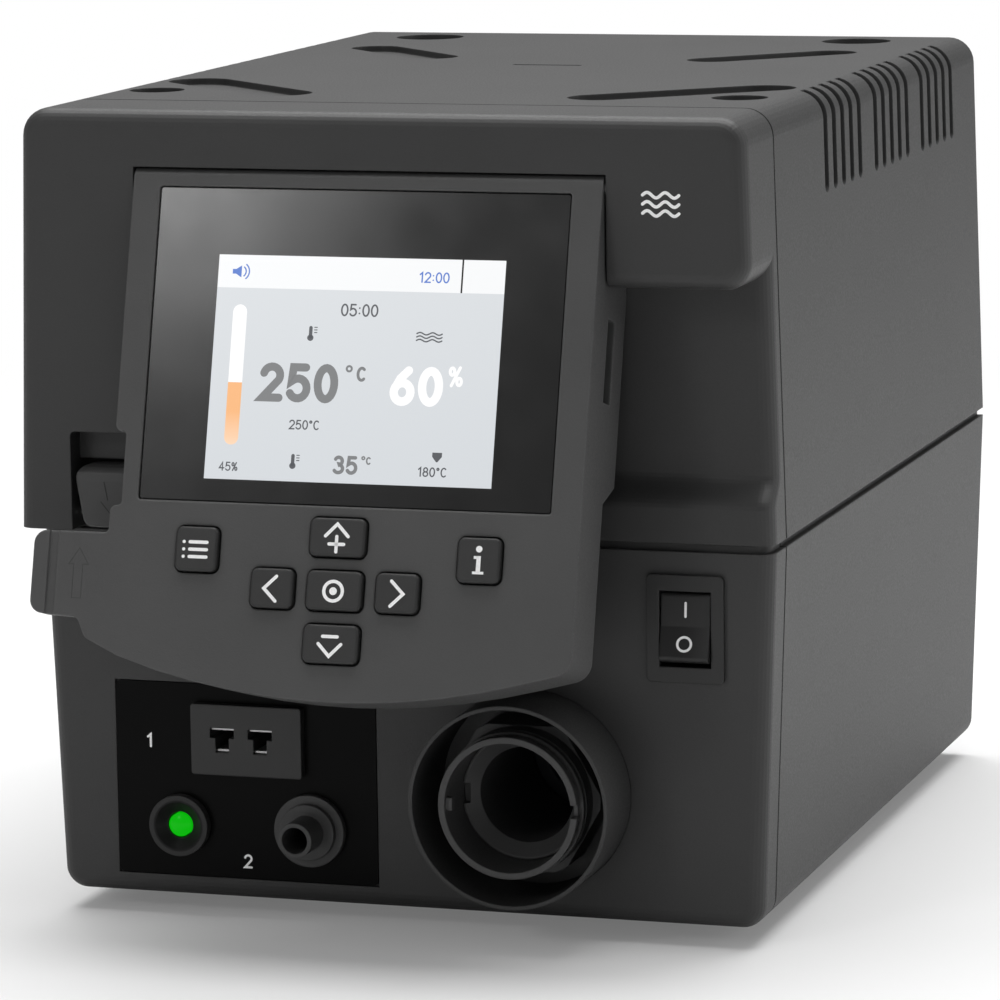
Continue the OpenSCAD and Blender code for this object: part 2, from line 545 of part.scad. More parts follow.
module suction_nozzle() color("#3a3b3d") difference() {
    union() {
        rod_y(nozzle_x, nozzle_z, lower_set - 1.6, lower_set, 7.2);
        rod_y(nozzle_x, nozzle_z, lower_set - 3, lower_set, 5.6);
        rod_y(nozzle_x, nozzle_z, lower_set - nozzle_out, lower_set, nozzle_r);
        rod_y(nozzle_x, nozzle_z, lower_set - eps, lower_set + 5, nozzle_stem);
        rod_y(nozzle_x, nozzle_z, lower_set + wall + fit_gap, lower_set + wall + 2.4, 6.2);
        rod_y(nozzle_x, nozzle_z, lower_set + 5 - eps, lower_set + 20, nozzle_r - 0.4);
        for (y = [10, 14, 18]) translate([nozzle_x, lower_set + y + 2, nozzle_z]) rotate([90, 0, 0])
            cylinder(h = 2, r1 = nozzle_r - 0.4, r2 = nozzle_r);
    }
    rod_y(nozzle_x, nozzle_z, lower_set - nozzle_out - 1, lower_set + 21, nozzle_bore);
}
// Hose port
port_front = lower_set - collar_out;
port_seat = lower_set + wall;
flange_t = 1.5;
module hose_collar() color("#333435") {
    ring_y(port_x, port_z, port_front, port_seat + eps, collar_r, collar_r - collar_wall);
    ring_y(port_x, port_z, port_seat + fit_gap, port_seat + flange_t, collar_r + 2.2, collar_r - collar_wall);
    ring_y(port_x, port_z, port_seat, port_seat + fit_gap + eps, collar_r, collar_r - collar_wall);
}
socket_seat = port_seat + flange_t;
nut_front = port_front + 9.5;
cone_front = port_front + 11;
cone_end = cone_front + 2;
// The socket's ribbed outside as a revolved outline, from its front rim to the nut
socket_lines = [[0, socket_r + socket_wall], [2.4, socket_r + socket_wall], [2.4, socket_r + 0.8], [3.4, socket_r + 0.8],
    [3.4, socket_r + socket_wall + 0.35], [4.8, socket_r + socket_wall + 0.35], [4.8, socket_r + 0.9], [5.6, socket_r + 0.9],
    [5.6, socket_r + socket_wall + 0.35], [nut_front - port_front + 1, socket_r + socket_wall + 0.35]];
module hose_socket() color("#2e2f31") difference() {
    union() {
        translate([port_x, port_front, port_z]) rotate([-90, 0, 0]) rotate_extrude()
            polygon(concat([[socket_r, nut_front - port_front + 1], [socket_r, 0]], [for (q = socket_lines) [q[1], q[0]]]));
        // The nut that holds it: six sides, one of them level, with turned corners
        difference() {
            intersection() {
                translate([port_x, socket_seat, port_z]) rotate([90, 0, 0]) cylinder(h = socket_seat - nut_front, r = nut_flats / sqrt(3), $fn = 6);
                rod_y(port_x, port_z, nut_front - 1, socket_seat + 1, nut_corner);
            }
            rod_y(port_x, port_z, nut_front - 1, socket_seat + 1, socket_r);
        }
        ring_y(port_x, port_z, socket_seat, socket_seat + 2, collar_r + 2.2, socket_r);
        // Key inside the rim, at the left
        intersection() {
            box([port_x - socket_r - 0.5, port_front + 1, port_z - 1.25], [port_x - socket_r + 1.2, port_front + 2.5, port_z + 1.25]);
            rod_y(port_x, port_z, port_front, port_front + 20, socket_r + 0.5);
        }
    }
    box([port_x + socket_r - 1, port_front - 1, port_z - 1.25], [port_x + socket_r + 3, port_front + 2.4, port_z + 1.25]);
}
nut_flats = 28.7;
nut_corner = 15.8;
core_front = cone_front;
core_end = seam_y + 22;
module hose_core() color("#101011") difference() {
    union() {
        rod_y(port_x, port_z, core_front, socket_seat + 4, socket_r - fit_gap);
        rod_y(port_x, port_z, socket_seat + 2, socket_seat + 4, collar_r);
        rod_y(port_x, port_z, socket_seat + 4 - eps, core_end, bore_r + 1.5);
    }
    rod_y(port_x, port_z, core_front - 1, core_end + 1, bore_r);
    translate([port_x, cone_end, port_z]) rotate([90, 0, 0]) cylinder(h = cone_end - cone_front + eps, r1 = bore_r, r2 = socket_r - 0.6);
    // Notch in the cone's rim, behind the key
    box([port_x - socket_r - 1, core_front - 1, port_z - 1.95], [port_x - socket_r + 1.5, core_front + 1.5, port_z + 1.95]);
}
// Rocker switch
switch_y = lower_set - 1;
open_w = 10.2;
open_h = 14.7;
rocker_y = lower_set + 1.5;
module switch_frame() color("#2f3032") difference() {
    union() {
        along_y(switch_y, lower_set, rounded([[switch_x - switch_w / 2, switch_z - switch_h / 2], [switch_x + switch_w / 2, switch_z - switch_h / 2],
            [switch_x + switch_w / 2, switch_z + switch_h / 2], [switch_x - switch_w / 2, switch_z + switch_h / 2]], 1));
        box([switch_x - switch_w / 2 + 1.4, lower_set - eps, switch_z - switch_h / 2 + 1.2], [switch_x + switch_w / 2 - 1.4, lower_set + 17, switch_z + switch_h / 2 - 1.2]);
        for (z = [-6, 0, 6]) box([switch_x - 2.4, lower_set + 16, switch_z + z - 0.4], [switch_x + 2.4, lower_set + 24, switch_z + z + 0.4]);
    }
    box([switch_x - open_w / 2, switch_y - 1, switch_z - open_h / 2], [switch_x + open_w / 2, lower_set + 12, switch_z + open_h / 2]);
    rod_x(rocker_y, switch_z, switch_x - open_w / 2 - 0.8, switch_x + open_w / 2 + 0.8, 1 + run_gap);
}
module switch_rocker() color("#1c1d1f") translate([0, rocker_y, switch_z]) rotate([-rocker_lean, 0, 0]) {
    along_x(switch_x - open_w / 2 + 0.25, switch_x + open_w / 2 - 0.25, rounded([[-3, -6.6], [0.5, -6.9], [4, -4], [4, 4], [0.5, 6.9],
        [-3, 6.6], [-2.2, 0]], [0.9, 0, 0, 0, 0, 0.9, 0]));
    rod_x(0, 0, switch_x - open_w / 2 - 0.6, switch_x + open_w / 2 + 0.6, 1);
}

// Console: outline points in its own frame, from the top left corner clockwise
tab_w = 15;
tab_s = 70;
tab_h = 15.85;
bay_s = 50.6;
bay_h = 14.1;
bay_w = 2.2;
bow_n = 12;
// Slope distance of the bowed lower edge at x
function bow_s(x) = console_len + console_bow * (1 - pow((x - console_x) / (console_w / 2), 2));
console_left = rounded([[console_l, 2], [console_l, -bay_s], [console_l + bay_w, -bay_s], [console_l + bay_w, -bay_s - bay_h],
    [console_l, -bay_s - bay_h], [console_l, -tab_s], [console_l - tab_w, -tab_s], [console_l - tab_w, -tab_s - tab_h],
    [console_l - 5.2, -tab_s - tab_h - 0.5], [console_l - 3.4, -tab_s - tab_h - 4.4], [console_l + 2.6, -console_len - 0.6], [console_l + 3.4, -console_len - 1]],
    [0, 1.3, 0.8, 0.8, 1.3, 0.8, 2.6, 2.6, 1.8, 2, 0, 0]);
console_bottom = [for (i = [1:bow_n - 1]) let (x = console_l + console_w * (i + 0.6) / (bow_n + 1)) [x, -bow_s(x)]];
console_right = corner([console_r - 14, -bow_s(console_r - 14)], [console_r, -console_len - 0.4], [console_r, 0], 4);
console_outline = concat(console_left, console_bottom, console_right, [[console_r, 2]]);
// Point of the side outline: slope distance s from the top edge, depth d below the face
function side_point(s, d) = [d * cos(console_tilt) - s * sin(console_tilt),
    console_top_z - s * cos(console_tilt) - d * sin(console_tilt)];
back_y = scoop_y - 0.7;
back_s = (console_deep * cos(console_tilt) - back_y) / sin(console_tilt);
// Rear line of the console's side, moved in by t
function rear_line(t) = [[pivot_y + pivot_r - t, pivot_z - t], [back_y - t, pivot_z - 0.5 - t], [back_y - t, side_point(back_s, console_deep)[1]],
    side_point(console_step, console_deep - t), side_point(console_step + console_ramp, console_d - t), side_point(console_len + 20, console_d - t)];
// What lies above and behind the console's rolled top edge and its back
console_cut = concat([[pivot_y - (pivot_r + 1) * cos(console_tilt), pivot_z + (pivot_r + 1) * sin(console_tilt)]],
    [for (i = [0:2 * corner_steps]) let (g = 180 - console_tilt - i * (180 - console_tilt) / corner_steps / 2)
    [pivot_y + pivot_r * cos(g), pivot_z + pivot_r * sin(g)]], [for (i = [1:5]) rear_line(0)[i]],
    [[seam_y + 30, rear_line(0)[5][1]], [seam_y + 30, top_z], [pivot_y - (pivot_r + 1) * cos(console_tilt), top_z]]);
inner_l = console_l + bay_w + console_wall;
inner_r = console_r - console_wall;
inner_top = 2 * pivot_r + 2;
// A box round the side socket's middle, from x0 to x1, half as long as l and half as thick as t
module usb_box(x0, x1, l, t) on_console() translate([x0, -usb_s - l, -usb_d - t]) cube([x1 - x0, 2 * l, 2 * t]);
// Inside outline of the console, shrunk by gap
function inner_outline(gap) = rounded([[inner_l + gap, -inner_top - gap], [inner_l + gap, -console_len + 1 + gap], [console_x - 20, -console_len - 4 + gap],
    [console_x + 20, -console_len - 4 + gap], [inner_r - gap, -console_len + 1 + gap], [inner_r - gap, -inner_top - gap]], [1, 3, 10, 10, 3, 1]);
keys_s = 79.4;
outer_s = keys_s - 6.8;
key_x = console_x - 0.3;
key_list = [["menu", key_x - key_outer, outer_s, 8.4, 8.5], ["up_arrow", key_x, keys_s - key_ds, 11, 7.3],
    ["left", key_x - key_dx, keys_s, 8.5, 7.5], ["enter", key_x, keys_s, 11, 7.5], ["right", key_x + key_dx, keys_s, 8.5, 7.5],
    ["down_arrow", key_x, keys_s + key_ds, 11, 7.3], ["info", key_x + key_outer, outer_s, 8.4, 8.5]];
glass_x = console_x - 0.2;
glass_s = glass_top + glass_h / 2;
lcd_x = console_x + 0.2;
lcd_s = lcd_top + lcd_h / 2;
board_d = 7.2;
usb_s = 33.2;
usb_d = 11.85;
module console_shell() color("#3b3c3e") difference() {
    on_console() console_plate(0, console_deep + 10, console_outline);
    along_x(console_l - 30, console_r + 30, console_cut);
    on_console() {
        // Seat and window of the glass
        console_plate(-1, glass_sink + glass_t + 0.2, pad(glass_x, glass_s, glass_w + 2 * glass_gap, glass_h + 2 * glass_gap, 0.6));
        console_plate(-0.7, console_wall + 2, pad(glass_x, glass_s, glass_w - 6, glass_h - 5, 1));
        // Hollow, open at the back
        console_plate(console_wall + glass_t, console_deep + 1, inner_outline(0));
        console_plate(console_wall, console_d, [for (q = inner_outline(0)) [q[0], min(q[1], -glass_top - glass_h - 1.5)]]);
        // Key holes
        for (k = key_list) console_plate(-1, console_wall + 1, pad(k[1], k[2], k[3] + 2 * key_gap, k[4] + 2 * key_gap, key_r + key_gap));
        // Groove behind the lip of the tab
        console_plate(-1, 0.5, pad(console_l - tab_w + 4, tab_s + tab_h / 2, 1.9, tab_h + 2, 0));
    }
    // The underside of the tab is open to the fingers
    on_console() console_plate(4, console_d + 1, [[console_l - tab_w - 1, -tab_s + 1], [console_l - tab_w - 1, -tab_s - tab_h - 1],
        [console_l - 1.5, -tab_s - tab_h - 1], [console_l - 1.5, -tab_s + 1]]);
    // Slot in the right side
    usb_box(inner_r - 1, console_r + 1, 7.9, 2.45);
    rod_x(pivot_y, pivot_z, console_l - 1, console_l + 5, pin_r + run_gap);
    rod_x(pivot_y, pivot_z, console_r - 5, console_r + 1, pin_r + run_gap);
}
back_t = 1.6;
module console_back() color("#2a2b2c") intersection() {
    on_console() console_plate(2, console_deep, inner_outline(fit_gap));
    along_x(console_l, console_r, concat(rear_line(0), [for (i = [5:-1:0]) rear_line(back_t)[i]]));
}
module display_glass() color("#08090a") on_console()
    console_plate(glass_sink, glass_sink + glass_t, pad(glass_x, glass_s, glass_w, glass_h, 0.5));
module lcd_module() color("#c9d2d6") on_console() {
    console_plate(glass_sink + glass_t + 0.2, glass_sink + glass_t + 3.6, pad(lcd_x, lcd_s - 0.5, lcd_w + 6, lcd_h + 3, 0.8));
    console_plate(glass_sink + glass_t, glass_sink + glass_t + 0.3, pad(lcd_x, lcd_s, lcd_w, lcd_h, 0));
}
module console_board() color("#1f5a35") difference() {
    union() {
        on_console() {
            console_plate(board_d, board_d + 1.6, [[inner_l + 0.8, -12], [inner_l + 0.8, -console_len + 3], [inner_r - 0.8, -console_len + 3], [inner_r - 0.8, -12]]);
            // Switch under each key
            for (k = key_list) console_plate(console_wall + 1.4 + key_travel + 0.4, board_d + eps, pad(k[1], k[2], 4, 4, 0.5));
            // Posts that carry the display
            for (x = [-24, 24], s = [lcd_top + 2, lcd_top + lcd_h - 1]) console_plate(glass_sink + glass_t + 3.6, board_d + eps, pad(lcd_x + x, s, 4, 4, 1));
            // Spacers that carry the rear cover
            for (x = [inner_l + 8, inner_r - 20]) console_plate(board_d + 1.5, console_deep - back_t, pad(x, 52, 5, 5, 1));
        }
        usb_box(inner_r - 15, inner_r - 0.4, 7, 3.06);
    }
    usb_box(inner_r - 13.5, inner_r + 1, 6.3, 2.3);
}
module key_cap(k) color("#2b2c2e") on_console() {
    soft_plate(-console_wall - 1.4, key_up, pad(k[1], k[2], k[3], k[4], key_r), key_soft);
    console_plate(console_wall + 0.4, console_wall + 1.4, pad(k[1], k[2], k[3] + 1.2, k[4] + 0.9, key_r));
}
module console_pins() color("#b5b7ba") {
    rod_x(pivot_y, pivot_z, console_l - pin_in, console_l + 4.6, pin_r);
    rod_x(pivot_y, pivot_z, console_r - 4.6, console_r + pin_in, pin_r);
}
// Latch: a wedge on a pin across the pocket
latch_pin_r = 1;
latch_y = 6;
latch_z = upper_z + 3;
latch_l = pocket_l + 0.3;
latch_r = bay_l;
latch_reach = latch_r - 1.9;
module latch_pin() color("#b5b7ba") rod_x(latch_y, latch_z, pocket_l - wall + 0.3, latch_r, latch_pin_r);
module console_latch() color("#2e2f31") difference() {
    intersection() {
        along_y(0, pocket_d, rounded([[latch_l + 2, upper_z + 0.6], [latch_reach, upper_z + 0.6], [latch_reach, latch_top], [latch_l, latch_top]],
            [2, 0.4, 0.4, 2.2]));
        along_x(latch_l - 1, latch_r, [[0.7, upper_z + 0.6], [0.7, latch_top - 3], [1.1, latch_top - 1.4], [2.2, latch_top - 0.4], [3.4, latch_top],
            [7.5, latch_top], [8.2, upper_z + 6], [8.2, upper_z + 1.4], [7, upper_z + 0.6]]);
    }
    rod_x(latch_y, latch_z, latch_l - 1, latch_r + 1, latch_pin_r + run_gap);
}

// Inner works
chassis_z = 12;
chassis_t = 1.2;
deck = chassis_z + chassis_t;
stand_x = body_w / 2 - 20;
stand_front = 58;
stand_rear = body_depth - 32;
module chassis_plate() color("#b8bbbe") difference() {
    box([-body_w / 2 + 14.5, 44, chassis_z], [body_w / 2 - 16.5, body_depth - 26, deck]);
    for (p = bosses) rod_z(p[0], p[1], chassis_z - 1, deck + 1, boss_r + 1.5);
    for (x = [-stand_x, stand_x], y = [stand_front, stand_rear]) rod_z(x, y, chassis_z - 1, deck + 1, 1.5);
}
wall_x = body_w / 2 - 18;
bracket_rear = body_depth - 40;
module board_bracket() color("#b8bbbe") {
    box([wall_x - 14, 66, deck], [wall_x, bracket_rear, deck + 1.2]);
    box([wall_x - 1.2, 66, deck], [wall_x, bracket_rear, deck + 96]);
}
board_x = wall_x - 1.2 - 5;
module main_board() color("#1f5a35") {
    box([board_x - 1.6, 62, deck + 6], [board_x, bracket_rear + 2, deck + 98]);
    for (y = [70, bracket_rear - 6], z = [14, 90]) rod_x(y, deck + z, board_x - eps, wall_x - 1.2, 2.5);
}
module board_parts() color("#23252a") let (x = board_x - 1.6) {
    for (y = [74, 90]) rod_x(y, deck + 80, x - 22, x, 6.2);
    box([x - 9, 100, deck + 12], [x, 122, deck + 34]);
    box([x - 3, 76, deck + 44], [x, 92, deck + 60]);
    box([x - 3, 104, deck + 70], [x, 118, deck + 84]);
    box([x - 12, bracket_rear - 16, deck + 12], [x, bracket_rear - 4, deck + 40]);
}
module heatsink() color("#8f9498") let (x = board_x - 1.6) {
    box([x - 4, 100, deck + 42], [x, 136, deck + 66]);
    for (k = [0:6]) box([x - 18, 100 + k * 5.6, deck + 42], [x - 4 + eps, 102 + k * 5.6, deck + 66]);
}
core_x = -27;
pump_rear = 104;
core_r = (body_depth - 27 - pump_rear - 3) / 2;
core_y = body_depth - 27 - core_r;
module transformer_core() color("#b0793c") translate([core_x, core_y, deck + 18.2]) rotate_extrude()
    translate([12, -18]) polygon(rounded([[0, 0], [core_r - 12, 0], [core_r - 12, 36], [0, 36]], (core_r - 12) * 0.4));
module transformer_clamp() color("#b8bbbe") {
    rod_z(core_x, core_y, deck + 36.3, deck + 38.3, 22);
    rod_z(core_x, core_y, deck, deck + 42, 3);
    translate([core_x, core_y, deck + 38.3]) cylinder(h = 4, r = 6, $fn = 6);
}
blower_x = 12;
blower_y = 84;
blower_r = 25;
blower_z0 = deck;
blower_z1 = port_z + 12;
outlet_y = core_end + 6;
module blower_housing() color("#3a3f45") difference() {
    union() {
        rod_z(blower_x, blower_y, blower_z0, blower_z1, blower_r);
        box([port_x - 11, outlet_y + 6, blower_z0], [port_x + 11, blower_y, blower_z1]);
        rod_y(port_x, port_z, outlet_y, outlet_y + 7, bore_r + 1.5);
    }
    rod_z(blower_x, blower_y, blower_z0 + 2, blower_z1 + 1, blower_r - 2);
    box([port_x - 9, outlet_y + 8, blower_z0 + 2], [port_x + 9, blower_y, blower_z1 - 2]);
    rod_y(port_x, port_z, outlet_y - 1, outlet_y + 9, bore_r - 1);
}
motor_z = blower_z1 + 10;
module blower_lid() color("#3a3f45") {
    difference() {
        rod_z(blower_x, blower_y, blower_z1, blower_z1 + 2, blower_r);
        rod_z(blower_x, blower_y, blower_z1 - 1, blower_z1 + 3, 13);
    }
    for (a = [45:90:315]) rod_z(blower_x + 18 * cos(a), blower_y + 18 * sin(a), blower_z1 + 2 - eps, motor_z, 2);
}
module blower_impeller() color("#d8dadc") {
    rod_z(blower_x, blower_y, blower_z0 + 3, blower_z0 + 4.6, blower_r - 5);
    rod_z(blower_x, blower_y, blower_z0 + 3, blower_z1 - 3, 4);
    rod_z(blower_x, blower_y, blower_z0 + 4, motor_z + 12, 1.5);
    for (a = [0:30:330]) translate([blower_x, blower_y, blower_z0 + 4]) rotate(a) translate([9, -0.6, 0]) rotate(-28) cube([11, 1.2, blower_z1 - blower_z0 - 8]);
}
module blower_motor() color("#9aa0a6") difference() {
    union() {
        rod_z(blower_x, blower_y, motor_z, motor_z + 1.6, 21);
        rod_z(blower_x, blower_y, motor_z, motor_z + 24, 15);
    }
    rod_z(blower_x, blower_y, motor_z - 1, motor_z + 13, 1.5 + run_gap);
}
module air_hose() color("#8a2f25") ring_y(port_x, port_z, core_end - 12, outlet_y + 5.8, bore_r + 3.3, bore_r + 1.5 + eps);
pump_x1 = -15;
module vacuum_pump() color("#4a4d51") difference() {
    union() {
        box([-58, 62, deck], [pump_x1, 98, deck + 26]);
        rod_y(-38, deck + 13, 98 - eps, pump_rear, 12);
        box([-50, 62, deck + 26 - eps], [-24, 92, deck + 34]);
        rod_y(nozzle_x, nozzle_z, 54, 62 + eps, nozzle_r);
    }
    rod_y(nozzle_x, nozzle_z, 53, 70, 1.8);
}
module suction_hose() color("#c8cbc9") ring_y(nozzle_x, nozzle_z, lower_set + 9, 61, nozzle_r + 1.6, nozzle_r + eps);

// Rear: fan, mains inlet with its fuse drawer, jack and data sockets
fan_size = 60;
fan_x = -(boss_x - boss_r - 1 - fan_size / 2);
fan_z = 112;
fan_d = 15;
module fan_frame() color("#242527") difference() {
    along_y(rear_in - fan_d, rear_in, rounded([[fan_x - fan_size / 2, fan_z - fan_size / 2], [fan_x + fan_size / 2, fan_z - fan_size / 2],
        [fan_x + fan_size / 2, fan_z + fan_size / 2], [fan_x - fan_size / 2, fan_z + fan_size / 2]], 3));
    difference() {
        rod_y(fan_x, fan_z, rear_in - fan_d - 1, rear_in + 1, fan_size / 2 - 2);
        rod_y(fan_x, fan_z, rear_in - fan_d, rear_in - fan_d + 3, 12);
        for (a = [45, 135]) translate([fan_x, rear_in - fan_d, fan_z]) rotate([0, a, 0]) translate([-fan_size / 2, 0, -2]) cube([fan_size, 3, 4]);
    }
    rod_y(fan_x, fan_z, rear_in - fan_d + 1, rear_in - fan_d + 4, 1.5 + run_gap);
    for (x = [-25, 25], z = [-25, 25]) rod_y(fan_x + x, fan_z + z, rear_in - fan_d - 1, rear_in + 1, 2);
}
module fan_rotor() color("#2d2e31") {
    rod_y(fan_x, fan_z, rear_in - fan_d + 3.6, rear_in - 2, 11.5);
    rod_y(fan_x, fan_z, rear_in - fan_d + 1.4, rear_in - fan_d + 4, 1.5);
    for (a = [0:360 / 7:359]) translate([fan_x, rear_in - fan_d + 8.2, fan_z]) rotate([0, a, 0]) translate([18, 0, 0]) rotate([32, 0, 0])
        cube([15.5, 9, 1.4], center = true);
}
inlet_x = 30;
inlet_z = 40;
inlet_w = 28;
inlet_h = 31;
cav_h = 20;
drawer_h = 8;
drawer_z = inlet_z + inlet_h / 2 - drawer_h / 2 - 1;
socket_z = inlet_z - inlet_h / 2 + cav_h / 2 + 0.6;
module mains_inlet() color("#1b1b1d") difference() {
    union() {
        along_y(rear_face, rear_face + 2.4, rounded([[inlet_x - 24, inlet_z - inlet_h / 2 - 2], [inlet_x + 24, inlet_z - inlet_h / 2 - 2],
            [inlet_x + 24, inlet_z + inlet_h / 2 + 2], [inlet_x - 24, inlet_z + inlet_h / 2 + 2]], 4));
        box([inlet_x - inlet_w / 2, rear_face - 25, inlet_z - inlet_h / 2], [inlet_x + inlet_w / 2, rear_face + eps, inlet_z + inlet_h / 2]);
    }
    along_y(rear_face - 16, rear_face + 3, rounded([[inlet_x - 12, socket_z - 8.25], [inlet_x + 12, socket_z - 8.25],
        [inlet_x + 12, socket_z + 8.25], [inlet_x - 12, socket_z + 8.25]], [1, 1, 4, 4]));
    box([inlet_x - 11, rear_face - 20, drawer_z - drawer_h / 2], [inlet_x + 11, rear_face + 3, drawer_z + drawer_h / 2]);
    for (s = [-1, 1]) rod_y(inlet_x + s * 20, inlet_z, rear_face - 1, rear_face + 3, 1.7);
}
module inlet_pins() color("#c7c9cb") for (p = [[-7, -2], [0, 2], [7, -2]])
    box([inlet_x + p[0] - 1, rear_face - 16, socket_z + p[1] - 2], [inlet_x + p[0] + 1, rear_face - 1, socket_z + p[1] + 2]);
drawer_gap = 0.3;
module fuse_drawer() color("#1b1b1d") difference() {
    union() {
        box([inlet_x - 11 + drawer_gap, rear_face - 19, drawer_z - drawer_h / 2 + drawer_gap], [inlet_x + 11 - drawer_gap, rear_face + 2.4, drawer_z + drawer_h / 2 - drawer_gap]);
        box([inlet_x - 3, rear_face + 2.4 - eps, drawer_z - 1], [inlet_x + 3, rear_face + 3.6, drawer_z + 1]);
    }
    for (s = [-1, 1]) box([inlet_x + s * 5.2 - 3.2, rear_face - 18, drawer_z - 2.9], [inlet_x + s * 5.2 + 3.2, rear_face + 0.8, drawer_z + 8]);
}
module fuses() color("#d9dde0") for (s = [-1, 1]) {
    rod_y(inlet_x + s * 5.2, drawer_z - 0.3, rear_face - 18, rear_face + 0.8, 2.5);
}
jack_x = 6;
jack_z = 68;
module earth_jack() color("#8c8f93") difference() {
    union() {
        rod_y(jack_x, jack_z, rear_face, rear_face + 1.4, 6);
        rod_y(jack_x, jack_z, rear_face, rear_face + jack_out, 4.4);
        rod_y(jack_x, jack_z, rear_in - 6, rear_face + eps, 4);
        translate([jack_x, rear_in, jack_z]) rotate([90, 0, 0]) cylinder(h = 2.5, r = 6.5, $fn = 6);
    }
    rod_y(jack_x, jack_z, rear_in - 4, rear_face + jack_out + 1, 2);
}
data_xs = [30, 50];
data_z = 78;
module data_sockets() color("#28292b") for (x = data_xs) difference() {
    box([x - 7.3, rear_in - 14, data_z - 6.8], [x + 7.3, rear_face + 0.6, data_z + 6.8]);
    box([x - 5, rear_in - 10, data_z - 4.5], [x + 5, rear_face + 2, data_z + 2.6]);
    box([x - 3, rear_in - 10, data_z - 4.5], [x + 3, rear_face + 2, data_z + 4.4]);
}

placed() lower_case();
placed() top_cover();
placed() upper_bezel();
placed() lower_front();
placed() rear_panel();
placed() feet();
placed() case_screws();
placed() rear_screws();
placed() connector_plate();
placed() tc_socket();
placed() tc_contacts();
placed() indicator_ring();
placed() indicator_lens();
placed() suction_nozzle();
placed() hose_collar();
placed() hose_socket();
placed() hose_core();
placed() switch_frame();
placed() switch_rocker();
placed() console_shell();
placed() console_back();
placed() display_glass();
placed() lcd_module();
placed() console_board();
placed() key_cap(key_list[0]);  // key_menu
placed() key_cap(key_list[1]);  // key_up_arrow
placed() key_cap(key_list[2]);  // key_left
placed() key_cap(key_list[3]);  // key_enter
placed() key_cap(key_list[4]);  // key_right
placed() key_cap(key_list[5]);  // key_down_arrow
placed() key_cap(key_list[6]);  // key_info
placed() console_pins();
placed() console_latch();
placed() latch_pin();
placed() chassis_plate();
placed() board_bracket();
placed() main_board();
placed() board_parts();
placed() heatsink();
placed() transformer_core();
placed() transformer_clamp();
placed() blower_housing();
placed() blower_lid();
placed() blower_impeller();
placed() blower_motor();
placed() air_hose();
placed() vacuum_pump();
placed() suction_hose();
placed() fan_frame();
placed() fan_rotor();
placed() mains_inlet();
placed() inlet_pins();
placed() fuse_drawer();
placed() fuses();
placed() earth_jack();
placed() data_sockets();
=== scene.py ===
"""Looks of the hot-air rework control unit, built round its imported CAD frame.

X runs right, Y back and Z up. Artwork is drawn in millimetres, with Y measured from the upper front face;
Sheet.lift moves it to the row's frame, in metres. Finishes, floor and lamps are given in metres.
"""

from __future__ import annotations

import logging
import math
from abc import ABC, abstractmethod
from dataclasses import dataclass, field
from enum import Enum

import bpy
import numpy as np
from mathutils import Matrix, Vector

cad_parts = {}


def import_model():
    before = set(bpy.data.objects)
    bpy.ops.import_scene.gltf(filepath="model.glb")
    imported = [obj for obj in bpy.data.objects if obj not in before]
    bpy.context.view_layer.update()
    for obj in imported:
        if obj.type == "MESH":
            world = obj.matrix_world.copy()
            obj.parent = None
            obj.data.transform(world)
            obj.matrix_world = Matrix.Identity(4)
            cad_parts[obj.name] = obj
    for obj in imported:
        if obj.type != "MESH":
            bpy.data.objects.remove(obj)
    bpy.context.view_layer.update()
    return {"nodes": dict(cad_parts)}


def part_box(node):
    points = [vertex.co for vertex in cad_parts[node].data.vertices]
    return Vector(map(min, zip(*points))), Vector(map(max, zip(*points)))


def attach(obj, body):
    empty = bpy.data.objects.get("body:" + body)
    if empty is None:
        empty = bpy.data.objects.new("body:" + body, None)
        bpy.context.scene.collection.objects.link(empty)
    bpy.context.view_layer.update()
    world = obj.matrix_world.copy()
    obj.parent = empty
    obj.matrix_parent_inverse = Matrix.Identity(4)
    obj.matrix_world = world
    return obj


LOG = logging.getLogger("control_unit")

Colour = tuple[float, float, float]
Point = tuple[float, float, float]
Span = tuple[float, float]
Path = np.ndarray
Socket = bpy.types.NodeSocket

# One millimetre in the row's frame
MM = 0.001
# Height in millimetres of the top edge of the console's face, and how far the face leans back
CONSOLE_TOP = 149.5
CONSOLE_TILT = math.radians(15.4)
# Depth in millimetres of the front mouldings, from the upper front face to the seam behind them
SEAM_DEPTH = 21.0
# Thickness in millimetres of one printed layer
INK_THICK = 0.03
# Side of the photograph, in pixels, for which the camera was solved
PHOTO_SIDE = 1000
# Span in which most values of a noise pattern lie
NOISE_SPAN = (0.3, 0.7)
# Rays per point by which sharp edges read as rounded
BEVEL_RAYS = 4
# Cosines between an edge's rounded normal and the face's own, from no painted highlight to the full painted
# highlight
EDGE_HIGHLIGHT_SPAN = (0.99, 0.85)
# Distances in metres from a seam's middle over which its shade ends, and what is left of the light in it
SEAM_SPAN = (0.00013, 0.0003)
SEAM_LIGHT = 0.12
# Angles in degrees at which the half circle of a round end is walked
END_ANGLES = (4, 22, 45, 67)
# Least cosine for a corner's widening, so that sharp corners stay blunt
CORNER_LIMIT = 0.4
# Space between two signs, as a share of their height
SIGN_GAP = 0.1
# Half the length of a dot's band, as a share of its radius
DOT_LENGTH = 0.01


def front_face() -> float:
    """Row-frame Y of the upper front face, in millimetres: the foremost point of its bezel."""
    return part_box("upper_bezel")[0].y / MM


def grey(level: float) -> Colour:
    """A neutral colour of the given linear brightness."""
    return (level, level, level)


def shaded(colour: Colour, share: float) -> Colour:
    """A colour at a share of its brightness."""
    return tuple(share * part for part in colour)


